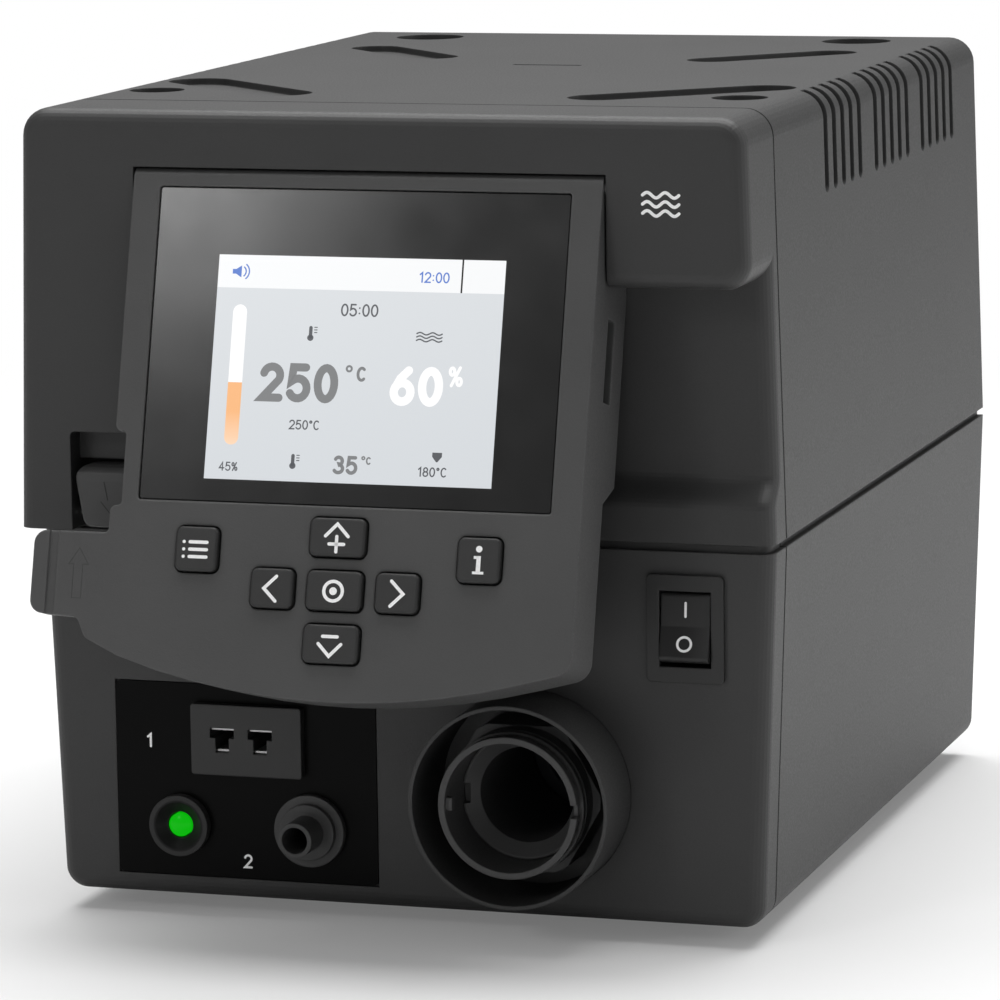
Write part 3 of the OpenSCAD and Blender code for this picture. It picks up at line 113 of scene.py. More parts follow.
class Shader:
    """A material's node tree with its Principled shader."""

    def __init__(self, name: str) -> None:
        """Starts a material.

        Args:
            name: The material's name.
        """
        self.material = bpy.data.materials.new(name)
        self.material.use_nodes = True
        self.tree = self.material.node_tree
        self.bsdf = self.tree.nodes["Principled BSDF"]
        self.output = self.tree.nodes["Material Output"]

    def node(self, kind: str, **values: object) -> bpy.types.Node:
        """Adds a node.

        Args:
            kind: Blender's name of the node type.
            **values: Socket values, with underscores for spaces.

        Returns:
            The new node.
        """
        node = self.tree.nodes.new(kind)
        for key, value in values.items():
            node.inputs[key.replace("_", " ")].default_value = value
        return node

    def join(self, out: Socket, into: Socket) -> None:
        """Links one socket to another."""
        self.tree.links.new(out, into)

    def feed(self, name: str, out: Socket) -> None:
        """Links a value to one of the Principled shader's own sockets."""
        self.join(out, self.bsdf.inputs[name])

    def set(self, **values: object) -> None:
        """Sets the Principled shader's own sockets, with underscores for spaces."""
        for key, value in values.items():
            self.bsdf.inputs[key.replace("_", " ")].default_value = value

    def place(self, stretch: Point = (1, 1, 1)) -> Socket:
        """Object coordinates, stretched along the axes.

        Args:
            stretch: Factor on each axis.

        Returns:
            The socket that gives the coordinates.
        """
        coord = self.node("ShaderNodeTexCoord")
        mapping = self.node("ShaderNodeMapping", Scale=stretch)
        self.join(coord.outputs["Object"], mapping.inputs["Vector"])
        return mapping.outputs["Vector"]

    def along(self, where: Socket, axis: str) -> Socket:
        """One coordinate of a place.

        Args:
            where: Coordinates.
            axis: "X", "Y" or "Z".

        Returns:
            The coordinate's value.
        """
        parts = self.node("ShaderNodeSeparateXYZ")
        self.join(where, parts.inputs["Vector"])
        return parts.outputs[axis]

    def maths(self, kind: str, operation: str, first: Socket, second: object = None) -> bpy.types.Node:
        """Adds a node that works a value out.

        Args:
            kind: Blender's name of the node type, for numbers or for vectors.
            operation: What it works out.
            first: Its first term.
            second: Its second term, where it has one: a socket or a plain value.

        Returns:
            The new node.
        """
        node = self.node(kind)
        node.operation = operation
        self.join(first, node.inputs[0])
        if isinstance(second, Socket):
            self.join(second, node.inputs[1])
        elif second is not None:
            node.inputs[1].default_value = second
        return node

    def noise(self, where: Socket, scale: float, detail: float) -> Socket:
        """A noise pattern.

        Args:
            where: Coordinates it is read at.
            scale: Cells per metre.
            detail: Number of finer layers.

        Returns:
            The pattern's grey value.
        """
        node = self.node("ShaderNodeTexNoise", Scale=scale, Detail=detail, Roughness=0.55)
        self.join(where, node.inputs["Vector"])
        return node.outputs["Fac"]

    def ramp(self, value: Socket, low: Colour, high: Colour, ends: Span = NOISE_SPAN) -> Socket:
        """A blend between two colours.

        Args:
            value: What steers the blend.
            low: Colour at the first end.
            high: Colour at the second end.
            ends: Values at which the ends lie.

        Returns:
            The blended colour.
        """
        node = self.node("ShaderNodeValToRGB")
        first, second = node.color_ramp.elements
        first.position, second.position = ends
        first.color = (*low, 1)
        second.color = (*high, 1)
        self.join(value, node.inputs["Fac"])
        return node.outputs["Color"]

    def tint(self, pattern: Socket, colour: Colour, low: float, high: float, ends: Span = NOISE_SPAN) -> None:
        """Lets a pattern take the surface from a low to a high share of a colour."""
        self.feed("Base Color", self.ramp(pattern, shaded(colour, low), shaded(colour, high), ends))

    def sheen(self, pattern: Socket, low: float, high: float) -> None:
        """Lets a noise pattern take the roughness from low to high."""
        self.feed("Roughness", self.carry(pattern, NOISE_SPAN, (low, high)))

    def carry(self, value: Socket, start: Span, end: Span = (0.0, 1.0), smooth: bool = False) -> Socket:
        """A value carried from one span to another, and held at its ends.

        Args:
            value: The value.
            start: Span that it comes from.
            end: Span that it goes to.
            smooth: Whether it eases in and out.

        Returns:
            The new value.
        """
        spans = {"From_Min": start[0], "From_Max": start[1], "To_Min": end[0], "To_Max": end[1]}
        node = self.node("ShaderNodeMapRange", **spans)
        node.interpolation_type = "SMOOTHSTEP" if smooth else "LINEAR"
        self.join(value, node.inputs["Value"])
        return node.outputs["Result"]

    def scaled(self, colour: Socket, share: Socket) -> Socket:
        """A colour times a value.

        Args:
            colour: The colour.
            share: The value.

        Returns:
            The product.
        """
        node = self.maths("ShaderNodeVectorMath", "SCALE", colour)
        self.join(share, node.inputs["Scale"])
        return node.outputs["Vector"]

    def rounded(self, radius: float) -> Socket:
        """The normal of the surface with its edges rounded.

        Args:
            radius: Radius of the edges, in metres.

        Returns:
            The normal.
        """
        bevel = self.node("ShaderNodeBevel", Radius=radius)
        bevel.samples = BEVEL_RAYS
        return bevel.outputs["Normal"]

    def paint_edge_highlight(self, colour: Socket, radius: float, gain: float) -> Socket:
        """Paints a highlight along sharp edges by lightening the colour: where the rounded normal leaves the
        face's own.

        Args:
            colour: The colour.
            radius: Radius of the edges, in metres.
            gain: Factor on the colour at the edge itself.

        Returns:
            The colour with its painted edge highlight.
        """
        own = self.node("ShaderNodeNewGeometry").outputs["True Normal"]
        match = self.maths("ShaderNodeVectorMath", "DOT_PRODUCT", self.rounded(radius), own)
        return self.scaled(colour, self.carry(match.outputs["Value"], EDGE_HIGHLIGHT_SPAN, (1.0, gain)))

    def seamed(self, colour: Socket, where: Socket, seam: float) -> Socket:
        """Darkens a colour in a line across Y, as the shade in a seam.

        Args:
            colour: The colour.
            where: Coordinates, in metres.
            seam: Y of the seam's middle.

        Returns:
            The darkened colour.
        """
        off = self.maths("ShaderNodeMath", "SUBTRACT", self.along(where, "Y"), seam)
        away = self.maths("ShaderNodeMath", "ABSOLUTE", off.outputs["Value"])
        return self.scaled(colour, self.carry(away.outputs["Value"], SEAM_SPAN, (SEAM_LIGHT, 1.0)))

    def relief(self, height: Socket, depth: float, strength: float, edge: float = 0.0) -> None:
        """Bump from a pattern, on edges that read as rounded.

        Args:
            height: The pattern.
            depth: Its depth in metres.
            strength: Share of the bump that shows.
            edge: Radius in metres to which sharp edges read as rounded.
        """
        bump = self.node("ShaderNodeBump", Strength=strength, Distance=depth)
        self.join(height, bump.inputs["Height"])
        if edge > 0:
            self.join(self.rounded(edge), bump.inputs["Normal"])
        self.feed("Normal", bump.outputs["Normal"])


@dataclass(frozen=True)
class Finish(ABC):
    """A finish: the name of its material and its main colour. Lengths are metres."""

    name: str
    colour: Colour

    def build(self) -> bpy.types.Material:
        """Makes the finish's material.

        Returns:
            The finished material.
        """
        shader = Shader(self.name)
        self.mix(shader)
        return shader.material

    @abstractmethod
    def mix(self, shader: Shader) -> None:
        """Lays the finish's pattern into its shader."""


@dataclass(frozen=True)
class Moulding(Finish):
    """Injection-moulded plastic with a spark-eroded grain.

    A seam is given by its depth behind the upper front face, in millimetres. The edge highlight gain is the
    factor on the colour at sharp edges, where it paints a highlight.
    """

    roughness: float = 0.55
    grain: float = 2600.0
    depth: float = 0.00004
    edge: float = 0.0004
    specular: float = 0.4
    seam: float | None = None
    edge_highlight_gain: float = 1.0

    def mix(self, shader: Shader) -> None:
        """Lays grain in relief, a faint mottling, the shade in the seam and a painted highlight on sharp
        edges.

        Args:
            shader: The material's shader.
        """
        where = shader.place()
        grain = shader.noise(where, scale=self.grain, detail=2.0)
        cloud = shader.noise(where, scale=38.0, detail=4.0)
        colour = shader.ramp(cloud, low=shaded(self.colour, 0.93), high=shaded(self.colour, 1.07))
        if self.seam is not None:
            colour = shader.seamed(colour, where, (front_face() + self.seam) * MM)
        # Painted highlight: sharp edges are lightened as if light caught them
        if self.edge_highlight_gain > 1.0:
            colour = shader.paint_edge_highlight(colour, self.edge, self.edge_highlight_gain)
        shader.feed("Base Color", colour)
        shader.sheen(grain, low=self.roughness - 0.05, high=self.roughness + 0.07)
        shader.relief(grain, self.depth, strength=0.6, edge=self.edge)
        shader.set(Specular_IOR_Level=self.specular)


@dataclass(frozen=True)
class Rim(Finish):
    """A black ring whose front rim is painted a lighter grey than the well round its axis, as a painted
    highlight.
    """

    rim_highlight: Colour
    node: str
    radius: float
    blur: float = 0.0001

    def mix(self, shader: Shader) -> None:
        """Parts the well from the rim's painted highlight by the distance from the ring's axis.

        Args:
            shader: The material's shader.
        """
        where = shader.place()
        low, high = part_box(self.node)
        axis = (low + high) / 2
        off = shader.maths("ShaderNodeVectorMath", "SUBTRACT", where, (axis.x, 0, axis.z))
        flat = shader.maths("ShaderNodeVectorMath", "MULTIPLY", off.outputs["Vector"], (1, 0, 1))
        away = shader.maths("ShaderNodeVectorMath", "LENGTH", flat.outputs["Vector"])
        step = shader.carry(away.outputs["Value"], (self.radius - self.blur, self.radius + self.blur))
        # The rim's lighter grey is a painted highlight
        shader.feed("Base Color", shader.ramp(step, self.colour, self.rim_highlight, (0.0, 1.0)))
        grain = shader.noise(where, scale=3000.0, detail=2.0)
        shader.relief(grain, depth=0.00002, strength=0.6, edge=0.0003)
        shader.set(Roughness=0.45, Specular_IOR_Level=0.2)


@dataclass(frozen=True)
class Gloss(Finish):
    """Smooth plastic or lacquer with a clear, slightly uneven gloss."""

    roughness: float = 0.12
    edge: float = 0.0002
    specular: float = 0.5

    def mix(self, shader: Shader) -> None:
        """Lays long shallow waves in the surface and smudges in its gloss.

        Args:
            shader: The material's shader.
        """
        where = shader.place()
        smudge = shader.noise(where, scale=55.0, detail=5.0)
        ripple = shader.noise(where, scale=14.0, detail=1.0)
        shader.tint(smudge, self.colour, low=0.9, high=1.0)
        shader.sheen(smudge, low=self.roughness, high=self.roughness + 0.05)
        shader.relief(ripple, depth=0.00001, strength=0.3, edge=self.edge)
        shader.set(Specular_IOR_Level=self.specular)


@dataclass(frozen=True)
class Metal(Finish):
    """Bare or plated metal with fine lines along one axis."""

    roughness: float = 0.3
    lines: Point = (1, 1, 14)

    def mix(self, shader: Shader) -> None:
        """Lays fine lines in colour, gloss and relief, by stretched noise.

        Args:
            shader: The material's shader.
        """
        streak = shader.noise(shader.place(self.lines), scale=420.0, detail=4.0)
        shader.tint(streak, self.colour, low=0.82, high=1.0)
        shader.sheen(streak, low=self.roughness - 0.06, high=self.roughness + 0.12)
        shader.relief(streak, depth=0.00002, strength=0.4, edge=0.0002)
        shader.set(Metallic=1.0)


@dataclass(frozen=True)
class Rubber(Finish):
    """Soft rubber or silicone with a dull, dusty skin."""

    roughness: float = 0.8

    def mix(self, shader: Shader) -> None:
        """Lays dusty patches over a fine pimpled skin.

        Args:
            shader: The material's shader.
        """
        where = shader.place()
        dust = shader.noise(where, scale=120.0, detail=5.0)
        pimples = shader.noise(where, scale=1800.0, detail=2.0)
        shader.tint(dust, self.colour, low=0.85, high=1.3)
        shader.sheen(dust, low=self.roughness - 0.08, high=self.roughness + 0.1)
        shader.relief(pimples, depth=0.00004, strength=0.5, edge=0.0004)


@dataclass(frozen=True)
class Board(Finish):
    """Circuit board with its lacquer and faint tracks."""

    def mix(self, shader: Shader) -> None:
        """Lets square cells of a Voronoi pattern stand for tracks under green lacquer.

        Args:
            shader: The material's shader.
        """
        cells = shader.node("ShaderNodeTexVoronoi", Scale=260.0, Randomness=0.75)
        cells.distance = "CHEBYCHEV"
        shader.join(shader.place(), cells.inputs["Vector"])
        shader.tint(cells.outputs["Distance"], self.colour, low=0.7, high=1.5, ends=(0.25, 0.5))
        shader.relief(cells.outputs["Distance"], depth=0.00005, strength=0.4)
        shader.set(Roughness=0.3)


@dataclass(frozen=True)
class Winding(Finish):
    """Taped copper winding: bands laid round an upright ring."""

    copper: Colour

    def mix(self, shader: Shader) -> None:
        """Shows wire between overlaps of tape, by sine bands.

        Args:
            shader: The material's shader.
        """
        bands = shader.node("ShaderNodeTexWave", Scale=70.0, Distortion=2.0, Detail=2.0)
        shader.join(shader.place((1, 1, 0.2)), bands.inputs["Vector"])
        wire = shader.ramp(bands.outputs["Fac"], self.copper, self.colour, ends=(0.35, 0.6))
        shader.feed("Base Color", wire)
        shader.relief(bands.outputs["Fac"], depth=0.0003, strength=0.5)
        shader.set(Roughness=0.45)


@dataclass(frozen=True)
class Lit(Finish):
    """A surface that glows under a gloss, evenly or from a foot's colour up to its own."""

    glow: float = 1.0
    foot: Colour | None = None
    span: Span = (0.0, 1.0)
    base: float = 0.02
    specular: float = 0.3

    def mix(self, shader: Shader) -> None:
        """Lets the light's colour change over the span of heights.

        Args:
            shader: The material's shader.
        """
        low = self.foot or shaded(self.colour, 0.97)
        height = shader.carry(shader.along(shader.place(), "Z"), self.span)
        shader.feed("Emission Color", shader.ramp(height, low, self.colour, (0.0, 1.0)))
        shader.set(Base_Color=(*grey(self.base), 1), Roughness=0.25)
        shader.set(Emission_Strength=self.glow, Specular_IOR_Level=self.specular)


@dataclass(frozen=True)
class Ink(Finish):
    """Printed ink, matt and slightly uneven; the same finish also lays the painted shade lines on the
    console's tab and catch.
    """

    def mix(self, shader: Shader) -> None:
        """Lays a fine speckle in the ink's colour."""
        shader.tint(shader.noise(shader.place(), scale=3000.0, detail=2.0), self.colour, low=0.9, high=1.0)
        shader.set(Roughness=0.5)


@dataclass(frozen=True)
class ClearGlass(Finish):
    """Thin clear glass tube, slightly cloudy inside."""

    cloudy: Colour = grey(0.75)

    def mix(self, shader: Shader) -> None:
        """Lays a cloudy tint into clear glass.

        Args:
            shader: The material's shader.
        """
        haze = shader.noise(shader.place(), scale=300.0, detail=3.0)
        shader.feed("Base Color", shader.ramp(haze, self.cloudy, self.colour))
        shader.set(Roughness=0.05, Transmission_Weight=0.8, IOR=1.5)


def arc(x: float, y: float, rx: float, ry: float, start: float, end: float, steps: int = 20) -> Path:
    """Points of an ellipse's arc: centre plus the radii times cosine and sine of an even walk of angles."""
    angle = np.radians(np.linspace(start, end, steps + 1))
    return np.stack([x + rx * np.cos(angle), y + ry * np.sin(angle)], 1)


def oval(x: float, y: float, rx: float, ry: float, steps: int = 20) -> Path:
    """Points of a whole ellipse, each once."""
    return arc(x, y, rx, ry, 0, 360, steps)[:-1]


def wave(x: float, y: float, length: float, swing: float, steps: int) -> Path:
    """Points of a wave of two periods: the swing times the sine, walked evenly along the length."""
    share = np.linspace(0, 1, steps + 1)
    return np.stack([x + length * share, y + swing * np.sin(share * 4 * math.pi)], 1)


def chain(*parts: object) -> Path:
    """One path from several points and runs of points."""
    return np.concatenate([np.atleast_2d(np.asarray(part, float)) for part in parts])


@dataclass(frozen=True)
class Glyph:
    """A sign drawn one unit high: its width, its open strokes and its closed ones."""

    width: float
    lines: tuple[Path, ...] = ()
    loops: tuple[Path, ...] = ()


# Plain signs; d stands for the degree sign and c for the unit of temperature
GLYPHS: dict[str, Glyph] = {
    "0": Glyph(0.56, loops=(oval(0.28, 0.5, 0.28, 0.5, 28),)),
    "1": Glyph(0.42, (chain((0.1, 0.8), (0.34, 1.0), (0.34, 0.0)),)),
    "2": Glyph(0.56, (chain(arc(0.28, 0.72, 0.28, 0.28, 165, -30, 14), (0.0, 0.0), (0.56, 0.0)),)),
    "3": Glyph(
        0.56,
        (chain(arc(0.26, 0.75, 0.25, 0.25, 150, -75, 12), arc(0.26, 0.26, 0.3, 0.26, 78, -150, 14)),),
    ),
    "4": Glyph(0.6, (chain((0.4, 0.0), (0.4, 1.0), (0.0, 0.28), (0.6, 0.28)),)),
    "5": Glyph(
        0.56,
        (chain((0.5, 1.0), (0.08, 1.0), (0.04, 0.55), arc(0.26, 0.32, 0.3, 0.32, 120, -150, 16)),),
    ),
    "6": Glyph(0.56, (chain((0.46, 1.0), (0.2, 0.74), (0.02, 0.4)),), (oval(0.28, 0.3, 0.28, 0.3, 24),)),
    "8": Glyph(0.56, loops=(oval(0.28, 0.75, 0.23, 0.24), oval(0.28, 0.26, 0.28, 0.26, 22))),
    ":": Glyph(0.14, (chain((0.06, 0.22), (0.07, 0.22)), chain((0.06, 0.7), (0.07, 0.7)))),
    "%": Glyph(
        0.66,
        (chain((0.1, 0.0), (0.56, 1.0)),),
        (oval(0.12, 0.78, 0.13, 0.2, 14), oval(0.54, 0.22, 0.13, 0.2, 14)),
    ),
    "c": Glyph(0.6, (arc(0.32, 0.5, 0.32, 0.5, 50, 310),)),
    "d": Glyph(0.3, loops=(oval(0.14, 0.86, 0.12, 0.12, 14),)),
}


@dataclass(frozen=True)
class Figure:
    """Signs to be printed in a row: their left edge, foot, height and half a stroke's width."""

    signs: str
    x: float
    foot: float
    height: float
    half: float


@dataclass(frozen=True)
class Sheet:
    """A flat place that artwork lies on: origin and two directions, in millimetres of the drawing."""

    origin: Point = (0, 0, 0)
    across: Point = (1, 0, 0)
    upward: Point = (0, 0, 1)

    def lift(self, points: np.ndarray) -> np.ndarray:
        """Carries sheet points to the row's frame: origin plus each part of a point along its direction.

        Args:
            points: Rows of (across, upward, out of the sheet), in millimetres.

        Returns:
            Rows of (x, y, z) in metres.
        """
        across, upward = np.array(self.across, float), np.array(self.upward, float)
        axes = np.stack([across, upward, np.cross(across, upward)])
        return (np.array(self.origin, float) + points @ axes + [0, front_face(), 0]) * MM


@dataclass
class Outline:
    """Stroked artwork on a sheet, gathered as vertices and faces."""

    sheet: Sheet
    raise_by: float = 0.0
    verts: list[np.ndarray] = field(default_factory=list)
    faces: list[tuple[int, ...]] = field(default_factory=list)
    count: int = 0

    @staticmethod
    def round_ends(path: Path, wide: np.ndarray) -> tuple[Path, np.ndarray]:
        """Gives an open path round ends.

        Formula: each end gets half a circle, walked by its angle. A point stands off the end by the half
        width times the cosine, and is as wide as the half width times the sine.

        Args:
            path: Rows of (across, upward).
            wide: Half width at each point.

        Returns:
            The longer path and its half widths.
        """
        angle = np.radians(END_ANGLES)
        first, last = path[0] - path[1], path[-1] - path[-2]
        first, last = first / np.linalg.norm(first), last / np.linalg.norm(last)
        head = path[0] + first * wide[0] * np.cos(angle)[:, None]
        tail = path[-1] + last * wide[-1] * np.cos(angle[::-1])[:, None]
        wide = np.concatenate([wide[0] * np.sin(angle), wide, wide[-1] * np.sin(angle[::-1])])
        return np.concatenate([head, path, tail]), wide

    @staticmethod
    def reach(path: Path, wide: np.ndarray, closed: bool) -> Path:
        """The way from each point of a path to the band's left side.

        Formula: the half width along the mean normal of the two segments beside the point, divided by the
        cosine of half their turn.

        Args:
            path: Rows of (across, upward).
            wide: Half width at each point.
            closed: Whether the path runs back to its first point.

        Returns:
            Rows of (across, upward).
        """
        if closed:
            ahead, behind = np.roll(path, -1, 0) - path, path - np.roll(path, 1, 0)
        else:
            step = np.diff(path, axis=0)
            ahead, behind = np.concatenate([step, step[-1:]]), np.concatenate([step[:1], step])
        ahead /= np.linalg.norm(ahead, axis=1)[:, None]
        behind /= np.linalg.norm(behind, axis=1)[:, None]
        mean = ahead + behind
        mean /= np.maximum(np.linalg.norm(mean, axis=1), 1e-6)[:, None]
        long = wide / np.maximum(np.sum(mean * ahead, axis=1), CORNER_LIMIT)
        return np.stack([-mean[:, 1], mean[:, 0]], 1) * long[:, None]

    def stroke(self, path: Path, half: float | np.ndarray, closed: bool = False, cap: bool = True) -> Outline:
        """Adds a flat band along a path.

        Formula: the band's sides are each point plus and minus its reach. The section is a rectangle as
        thick as the ink, so the band is a closed solid.

        Args:
            path: Rows of (across, upward), in millimetres.
            half: Half width, one for all points or one each.
            closed: Whether the path runs back to its first point.
            cap: Whether open ends are round.

        Returns:
            The outline itself, so that strokes can be chained.
        """
        path = np.asarray(path, float)
        wide = np.broadcast_to(np.asarray(half, float), (len(path),)).copy()
        if cap and not closed:
            path, wide = self.round_ends(path, wide)
        side = self.reach(path, wide, closed)
        n = len(path)
        low = np.full(n, self.raise_by)
        high = low + INK_THICK
        corners = ((path - side, low), (path + side, low), (path + side, high), (path - side, high))
        ring = np.stack([np.c_[flat, level] for flat, level in corners], 1)
        index = self.count + np.arange(n * 4).reshape(n, 4)
        near = index if closed else index[:-1]
        far = np.roll(index, -1, 0) if closed else index[1:]
        for k in range(4):
            nxt = (k + 1) % 4
            quads = np.stack([near[:, k], near[:, nxt], far[:, nxt], far[:, k]], 1)
            self.faces.extend(map(tuple, quads.tolist()))
        if not closed:
            self.faces.append(tuple(index[0][::-1].tolist()))
            self.faces.append(tuple(index[-1].tolist()))
        self.verts.append(ring.reshape(-1, 3))
        self.count += n * 4
        return self

    def line(self, *points: Span, half: float | np.ndarray, cap: bool = True) -> Outline:
        """Adds a band along a few points."""
        return self.stroke(np.array(points), half, cap=cap)

    def bar(self, x0: float, x1: float, y0: float, y1: float) -> Outline:
        """Adds a filled rectangle: a band along its middle with square ends."""
        middle = (y0 + y1) / 2
        return self.line((x0, middle), (x1, middle), half=abs(y1 - y0) / 2, cap=False)

    def dot(self, x: float, y: float, radius: float) -> Outline:
        """Adds a filled disc: a very short band with round ends."""
        reach = radius * DOT_LENGTH
        return self.line((x - reach, y), (x + reach, y), half=radius)

    def ring(self, x: float, y: float, radius: float, half: float) -> Outline:
        """Adds a ring."""
        return self.stroke(oval(x, y, radius, radius), half, closed=True)

    def chevron(self, tip: Span, aim: Span, back: float, out: float, half: float) -> Outline:
        """Adds a chevron: two arms that run back from its tip and out to both sides.

        Args:
            tip: Its point.
            aim: Direction in which it points, of length one.
            back: How far the arms run back.
            out: How far they run out.
            half: Half width of a stroke.

        Returns:
            The outline itself.
        """
        foot = np.array(tip) - np.array(aim) * back
        side = np.array([-aim[1], aim[0]]) * out
        return self.line(foot + side, tip, foot - side, half=half)

    def figure(self, figure: Figure) -> Outline:
        """Adds a row of signs, each a gap and a stroke past the one before.

        Args:
            figure: The signs and their place.

        Returns:
            The outline itself.
        """
        x = figure.x
        for sign in figure.signs:
            glyph = GLYPHS[sign]
            for path in glyph.lines:
                self.stroke(path * figure.height + [x, figure.foot], figure.half)
            for path in glyph.loops:
                self.stroke(path * figure.height + [x, figure.foot], figure.half, closed=True)
            x += (glyph.width + SIGN_GAP) * figure.height + 2 * figure.half
        return self

    def figures(self, *rows: Figure) -> Outline:
        """Adds several rows of signs."""
        for row in rows:
            self.figure(row)
        return self

    def piece(self, name: str, finish: bpy.types.Material, body: str) -> bpy.types.Object:
        """Makes the mesh object and lets it ride on a body.

        Args:
            name: The piece's name.
            finish: Its material.
            body: Body that it moves with.

        Returns:
            The new object.
        """
        mesh = bpy.data.meshes.new(name)
        mesh.from_pydata(self.sheet.lift(np.concatenate(self.verts)).tolist(), [], self.faces)
        mesh.validate()
        mesh.materials.append(finish)
        obj = bpy.data.objects.new(name, mesh)
        bpy.context.collection.objects.link(obj)
        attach(obj, body)
        LOG.info("piece %s rides on %s", name, body)
        return obj


class Mark(Enum):
    """Symbols on the keys."""

    LIST = "list"
    UP_PLUS = "up"
    LEFT = "left"
    SELECT = "select"
    RIGHT = "right"
    DOWN_MINUS = "down"
    DETAIL = "detail"


@dataclass
class KeySymbols:
    """The symbols on the console's keys, drawn round each key's middle.

    A key's place is its middle across and, as s, down the slope from the console's top edge.
    """

    face: Sheet
    lift: float = 1.2
    middle_x: float = -1.95
    outer: float = 28.1
    side: float = 12.6
    row: float = 10.05
    middle_s: float = 79.5
    outer_s: float = 72.7
    half: float = 0.32
    list_rows: tuple[float, ...] = (1.4, 0.0, -1.4)
    list_line: Span = (-1.1, 2.3)
    list_dot: float = -2.3
    arrow: Span = (2.3, 2.25)
    side_arrow: Span = (2.4, 2.35)
    sign_half: float = 1.45
    plus: Span = (-2.65, 0.25)
    select_ring: float = 1.85
    select_dot: float = 0.75
    letter_stem: float = 0.42
    letter_dot: float = 0.62
    ink: Ink = Ink("key_ink_white", grey(0.95))

    def arrow_sign(self, art: Outline, x: float, y: float, up: bool) -> None:
        """Draws an arrow over a plus, or under a minus.

        Args:
            art: What it is drawn in.
            x: The key's middle across.
            y: The key's middle upward.
            up: Whether it is the one that points up.
        """
        tip, aim, bar = (2.6, 1, -1.2) if up else (-2.2, -1, 1.5)
        art.chevron((x, y + tip), (0, aim), *self.arrow, self.half)
        art.line((x - self.sign_half, y + bar), (x + self.sign_half, y + bar), half=self.half)
        if up:
            art.line((x, y + self.plus[0]), (x, y + self.plus[1]), half=self.half)

    def letter(self, art: Outline, x: float, y: float) -> None:
        """Draws a plain letter i with its feet.

        Args:
            art: What it is drawn in.
            x: The key's middle across.
            y: The key's middle upward.
        """
        art.dot(x, y + 2.2, self.letter_dot)
        art.line((x, y + 0.9), (x, y - 2.2), half=self.letter_stem, cap=False)
        art.bar(x - 0.95, x - 0.2, y + 0.35, y + 0.9).bar(x - 1.1, x + 1.1, y - 2.5, y - 2.0)

    def symbol(self, kind: Mark, x: float, y: float) -> Outline:
        """Draws one key's symbol.

        Args:
            kind: Which symbol.
            x: The key's middle across.
            y: The key's middle upward.

        Returns:
            The symbol's outline.
        """
        art = Outline(self.face, self.lift)
        if kind is Mark.LIST:
            start, end = self.list_line
            for level in (y + row for row in self.list_rows):
                art.dot(x + self.list_dot, level, self.half)
                art.line((x + start, level), (x + end, level), half=self.half)
        elif kind in (Mark.UP_PLUS, Mark.DOWN_MINUS):
            self.arrow_sign(art, x, y, kind is Mark.UP_PLUS)
        elif kind in (Mark.LEFT, Mark.RIGHT):
            aim = -1 if kind is Mark.LEFT else 1
            art.chevron((x + aim * self.side_arrow[0] / 2, y), (aim, 0), *self.side_arrow, self.half)
        elif kind is Mark.SELECT:
            art.ring(x, y, self.select_ring, self.half).dot(x, y, self.select_dot)
        else:
            self.letter(art, x, y)
        return art

    def build(self) -> None:
        """Lays the symbol on each key; each rides on its key's body."""
        ink = self.ink.build()
        x, s = self.middle_x, self.middle_s
        for body, kind, across, down in (
            ("key_menu", Mark.LIST, x - self.outer, self.outer_s),
            ("key_up_arrow", Mark.UP_PLUS, x, s - self.row),
            ("key_left", Mark.LEFT, x - self.side, s),
            ("key_enter", Mark.SELECT, x, s),
            ("key_right", Mark.RIGHT, x + self.side, s),
            ("key_down_arrow", Mark.DOWN_MINUS, x, s + self.row),
            ("key_info", Mark.DETAIL, x + self.outer, self.outer_s),
        ):
            self.symbol(kind, across, -down).piece(f"{body}_symbol", ink, body)


